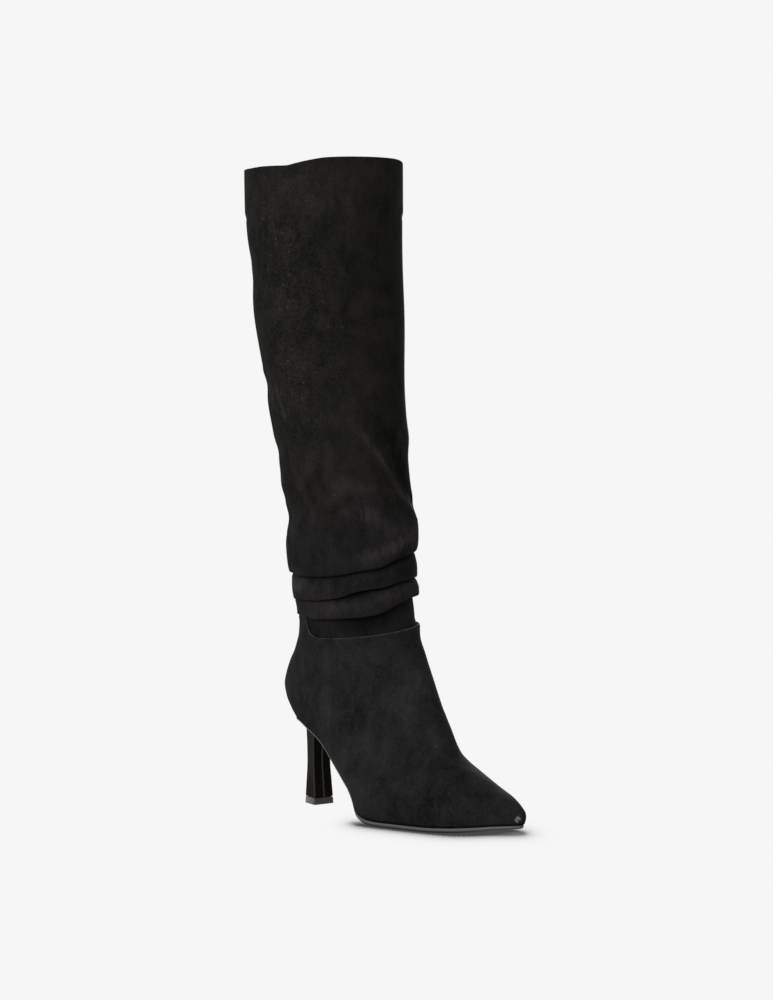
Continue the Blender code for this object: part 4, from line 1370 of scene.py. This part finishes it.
class BootColours(bpy.types.PropertyGroup):
    """Colours of the boot's finishes and of the floor."""
    shaft_dark: colour_property("Shaft dark", "Suede of the shaft where the nap lies away", "#0a0a09")
    shaft_light: colour_property("Shaft light", "Suede of the shaft where the nap is lit", "#1a1917")
    shaft_low: colour_property("Shaft low", "Lighter nap of the shaft round the ankle", "#1b191a")
    foot_dark: colour_property("Foot dark", "Suede of the foot where the nap lies away", "#0b0b0b")
    foot_light: colour_property("Foot light", "Suede of the foot where the nap is lit", "#1e1e1e")
    # Painted shade laid into the creases, under the rolls' lips and along the foot's bottom edge
    painted_crease_shade: colour_property("Suede crease", "Suede pressed flat in a crease", "#040404")
    # Painted highlight along the upper's top edge
    painted_edge_highlight: colour_property("Cut edge", "Raw edge of the suede along the ankle seam", "#30302e")
    scuff: colour_property("Scuff", "Rubbed spot at the tip of the toe", "#515156")
    lint: colour_property("Lint", "Specks of lint on the nap", "#383734")
    heel: colour_property("Heel", "Lacquer of the heel", "#060605")
    # Browner streaks up the heel: partly uneven lacquer, partly painted reflection
    heel_streak: colour_property("Heel light", "Thinner lacquer along the heel", "#0d0a07")
    # Painted highlight on the heel's corners and the seam of its breast
    heel_edge_highlight: colour_property("Heel edge", "Lacquer worn on the corners and the seam of the heel", "#3b3936")
    rubber: colour_property("Rubber", "Rubber of the sole and the top lift", "#262523")
    rubber_dark: colour_property("Rubber dark", "Rubber where it is worn and dirty", "#171614")
    sole_edge: colour_property("Sole edge", "Pale line round the edge of the sole", "#353534")
    # Painted light: the top lift's back and sides made paler as if lit
    lift_lit_sides: colour_property("Lift edge", "Top lift where its back and sides are buffed paler", "#4e4d4a")
    lining: colour_property("Lining", "Leather inside the boot", "#3a3734")
    lining_dark: colour_property("Lining dark", "Leather inside the boot in its darker clouds", "#2b2826")
    thread: colour_property("Thread", "Sewing thread", "#0e0e0d")
    nylon: colour_property("Nylon", "Teeth and tape of the zip", "#232324")
    metal: colour_property("Metal", "Plating of the slider and the pull", "#5a5a5c")
    metal_dark: colour_property("Metal dark", "Plating in its darker marks", "#2a2a2c")
    floor_shade: colour_property("Floor shade", "Floor in the soft shade close to the sole", "#101010")


def length_property(name, description, millimetres):
    """A length that a user can change, with its default given in millimetres."""
    return bpy.props.FloatProperty(name=name, description=description, unit="LENGTH", min=0.0, precision=5,
                                   default=millimetres * MM)


class BootSizes(bpy.types.PropertyGroup):
    """Small sizes of the boot that can change without its solids."""
    stitch_spacing: length_property("Stitch spacing", "From one stitch to the next", 2.9)
    stitch_length: length_property("Stitch length", "Length of one stitch", 2.2)
    thread_radius: length_property("Thread radius", "Half the thickness of the sewing thread", 0.26)
    tooth_pitch: length_property("Tooth pitch", "From one turn of the zip's coil to the next", 1.5)
    collar_step: length_property("Collar step", "How far the collar's band stands proud", 0.7)
    heel_corner: length_property("Heel corner", "Radius of the heel's corners", 1.1)
    heel_seam: length_property("Heel seam", "Height of the ridge up the heel's breast", 0.25)


def size(name):
    """One of the boot's sizes in millimetres."""
    return getattr(bpy.context.scene.boot_sizes, name) / MM


def angle_property(name, description, degrees):
    """An angle that a user can change, with its default given in degrees."""
    return bpy.props.FloatProperty(name=name, description=description, subtype="ANGLE",
                                   default=np.radians(degrees))


def amount_property(name, description, amount):
    """An amount that a user can change."""
    return bpy.props.FloatProperty(name=name, description=description, default=amount)


class BootStage(bpy.types.PropertyGroup):
    """Camera and light."""
    turn: angle_property("Turn", "Direction of the camera from +X towards +Y", 50.0)
    distance: length_property("Distance", "From the heel to the camera along its view", 1678.0)
    aside: length_property("Aside", "Camera to the side of the heel, towards the toe", 98.9)
    height: length_property("Height", "Camera above the floor", 249.6)
    swing: angle_property("Swing", "Turn of the camera that centres the boot", 1.67)
    pitch: angle_property("Pitch", "Tilt of the camera below the horizon", 0.765)
    lens: amount_property("Lens", "Focal length in millimetres", 80.9)
    sky: amount_property("Sky", "Brightness of the even light all round", 0.9216)
    key: amount_property("Key", "Power of the soft light on the outer side in watts", 54.0)
    back: amount_property("Back", "Power of the soft light behind the boot in watts", 64.0)


def finish_named(name):
    """The material of that name, made on first use from the colours of the scene."""
    found = bpy.data.materials.get(name)
    if found is not None:
        return found
    colours = bpy.context.scene.boot_colours
    makers = {
        "shaft_suede": (black_suede, colours.shaft_dark, colours.shaft_light, colours.shaft_low),
        "foot_suede": (black_suede, colours.foot_dark, colours.foot_light, colours.foot_light),
        "heel_lacquer": (heel_lacquer,),
        "sole_rubber": (grey_rubber, colours.sole_edge),
        "lift_rubber": (grey_rubber, colours.lift_lit_sides),
        "lining_leather": (lining_leather,),
        "sewing_thread": (twisted, 0.0006, colours.thread, 0.7),
        "nylon_coil": (twisted, 0.0006, colours.nylon, 0.35),
        "woven_tape": (twisted, 0.0009, colours.nylon, 0.7),
        "plated_zinc": (plated_zinc,),
        "floor_shadow": (floor_shadow,),
    }
    maker, *details = makers[name]
    return maker(colours, name, *details)


# Soft lamps: name, property that holds its power, width and place in metres, and turn in degrees
LAMPS = (
    ("soft_key", "key", 1.4, (1.97, 0.40, 0.75), 101.0),
    ("soft_back", "back", 1.1, (-1.28, -1.53, 0.80), -40.0),
)
LAMP_TALL = 1.2
LAMP_TILT = np.radians(76.0)


def make_floor(scene):
    """Floor with its painted soft shade."""
    points, faces, contact = floor_shape(scene.boot_stage.turn)
    mesh = bpy.data.meshes.new("floor")
    mesh.from_pydata(points * MM, [], faces)
    add_mark(mesh, "contact", contact)
    mesh.materials.append(finish_named("floor_shadow"))
    floor = bpy.data.objects.new("floor", mesh)
    scene.collection.objects.link(floor)
    return floor


def make_light(scene, floor):
    """Even light all round, and soft lamps that leave the floor alone."""
    stage = scene.boot_stage
    world = bpy.data.worlds.new("even_light")
    world.use_nodes = True
    sky = world.node_tree.nodes["Background"].inputs
    sky["Color"].default_value = (1.0, 1.0, 1.0, 1.0)
    sky["Strength"].default_value = stage.sky
    scene.world = world
    scene.view_settings.view_transform = "Standard"
    unlit = bpy.data.collections.new("floor_without_lamps")
    unlit.objects.link(floor)
    unlit.collection_objects[0].light_linking.link_state = "EXCLUDE"
    for name, power, wide, place, turn in LAMPS:
        lamp = bpy.data.lights.new(name, "AREA")
        lamp.shape = "RECTANGLE"
        lamp.size, lamp.size_y = wide, LAMP_TALL
        lamp.energy = getattr(stage, power)
        light = bpy.data.objects.new(name, lamp)
        light.location = place
        light.rotation_euler = Euler((LAMP_TILT, 0.0, np.radians(turn)))
        light.visible_camera = False
        scene.collection.objects.link(light)
        light.light_linking.receiver_collection = unlit


def make_camera(scene):
    """Camera on the outer side of the toe, turned so that the boot is in the middle."""
    stage = scene.boot_stage
    view = bpy.data.cameras.new("camera")
    view.lens = stage.lens
    camera = bpy.data.objects.new("camera", view)
    ahead = np.array([np.cos(stage.turn), np.sin(stage.turn)])
    right = np.array([-np.sin(stage.turn), np.cos(stage.turn)])
    camera.location = (*(ahead * stage.distance + right * stage.aside), stage.height)
    camera.rotation_euler = Euler((np.pi / 2 - stage.pitch, 0.0, stage.turn + np.pi / 2 + stage.swing))
    scene.collection.objects.link(camera)
    scene.camera = camera


class BOOT_OT_upper(bpy.types.Operator):
    """Make the upper: the suede foot with its lapped top edge and its stitches"""
    bl_idname = "boot.upper"
    bl_label = "Upper"

    def execute(self, context):
        shape, marks = upper_shape()
        make_piece("upper_suede", shape, "foot_suede", ("upper",), marks=marks)
        make_piece("seam_stitches", seam_stitches_shape(), "sewing_thread")
        return {"FINISHED"}


class BOOT_OT_shaft(bpy.types.Operator):
    """Make the shaft: the suede leg with its three rolls, and its lining"""
    bl_idname = "boot.shaft"
    bl_label = "Shaft"

    def execute(self, context):
        shape, marks = shaft_shape()
        make_piece("shaft_suede", shape, "shaft_suede", ("shaft",), marks=marks)
        make_piece("shaft_lining", shaft_lining_shape(), "lining_leather")
        return {"FINISHED"}


class BOOT_OT_sole(bpy.types.Operator):
    """Make the outsole, the insole, the heel and the top lift"""
    bl_idname = "boot.sole"
    bl_label = "Sole and heel"

    def execute(self, context):
        shape, marks = outsole_shape()
        make_piece("outsole_rubber", shape, "sole_rubber", ("outsole",), sharp=50, marks=marks)
        make_piece("insole_sock", insole_shape(), "lining_leather", ("insole",))
        shape, marks = heel_shape()
        make_piece("heel_block", shape, "heel_lacquer", ("heel",), sharp=40, marks=marks)
        shape, marks = top_lift_shape()
        make_piece("top_lift_rubber", shape, "lift_rubber", ("top_lift",), sharp=50, marks=marks)
        return {"FINISHED"}


class BOOT_OT_zip(bpy.types.Operator):
    """Make the zip: tape, coil, suede lips with their stitches, slider and pull"""
    bl_idname = "boot.zip"
    bl_label = "Zip"

    def execute(self, context):
        tape = strip_along_zip(TAPE_SECTION, TAPE_LOW, TAPE_HIGH, 120)
        make_piece("zip_tape", tape, "woven_tape", sharp=40)
        make_piece("zip_coil", zip_teeth_shape(), "nylon_coil", ("zip_chain",))
        make_piece("zip_lips", zip_lips_shape(), "shaft_suede", sharp=60)
        make_piece("zip_stitches", zip_stitches_shape(), "sewing_thread")
        metal = "plated_zinc"
        make_piece("zip_slider_metal", slider_shape(), metal, ("zip_slider",), sharp=45)
        make_piece("zip_pull_metal", pull_shape(), metal, ("zip_pull",), body="pull", sharp=45)
        return {"FINISHED"}


class BOOT_OT_stage(bpy.types.Operator):
    """Make the floor, the light and the camera"""
    bl_idname = "boot.stage"
    bl_label = "Stage"

    def execute(self, context):
        floor = make_floor(context.scene)
        make_light(context.scene, floor)
        make_camera(context.scene)
        return {"FINISHED"}


class BOOT_PT_pieces(bpy.types.Panel):
    """Buttons for the pieces, and the boot's colours, sizes and stage"""
    bl_idname = "BOOT_PT_pieces"
    bl_label = "Boot"
    bl_space_type = "VIEW_3D"
    bl_region_type = "UI"
    bl_category = "Boot"

    def draw(self, context):
        for operator in OPERATORS:
            self.layout.operator(operator.bl_idname)
        for group in (context.scene.boot_colours, context.scene.boot_sizes, context.scene.boot_stage):
            for name in group.__annotations__:
                self.layout.prop(group, name)


OPERATORS = (BOOT_OT_upper, BOOT_OT_shaft, BOOT_OT_sole, BOOT_OT_zip, BOOT_OT_stage)
CLASSES = (BootColours, BootSizes, BootStage, *OPERATORS, BOOT_PT_pieces)


def register():
    """Register the classes and hang the property groups on the scene."""
    for each in CLASSES:
        bpy.utils.register_class(each)
    bpy.types.Scene.boot_colours = bpy.props.PointerProperty(type=BootColours)
    bpy.types.Scene.boot_sizes = bpy.props.PointerProperty(type=BootSizes)
    bpy.types.Scene.boot_stage = bpy.props.PointerProperty(type=BootStage)


def unregister():
    """Undo register."""
    del bpy.types.Scene.boot_colours
    del bpy.types.Scene.boot_sizes
    del bpy.types.Scene.boot_stage
    for each in reversed(CLASSES):
        bpy.utils.unregister_class(each)


def main():
    """Make every piece in order."""
    register()
    for operator in OPERATORS:
        group, name = operator.bl_idname.split(".")
        getattr(getattr(bpy.ops, group), name)()


if __name__ == "__main__":
    main()
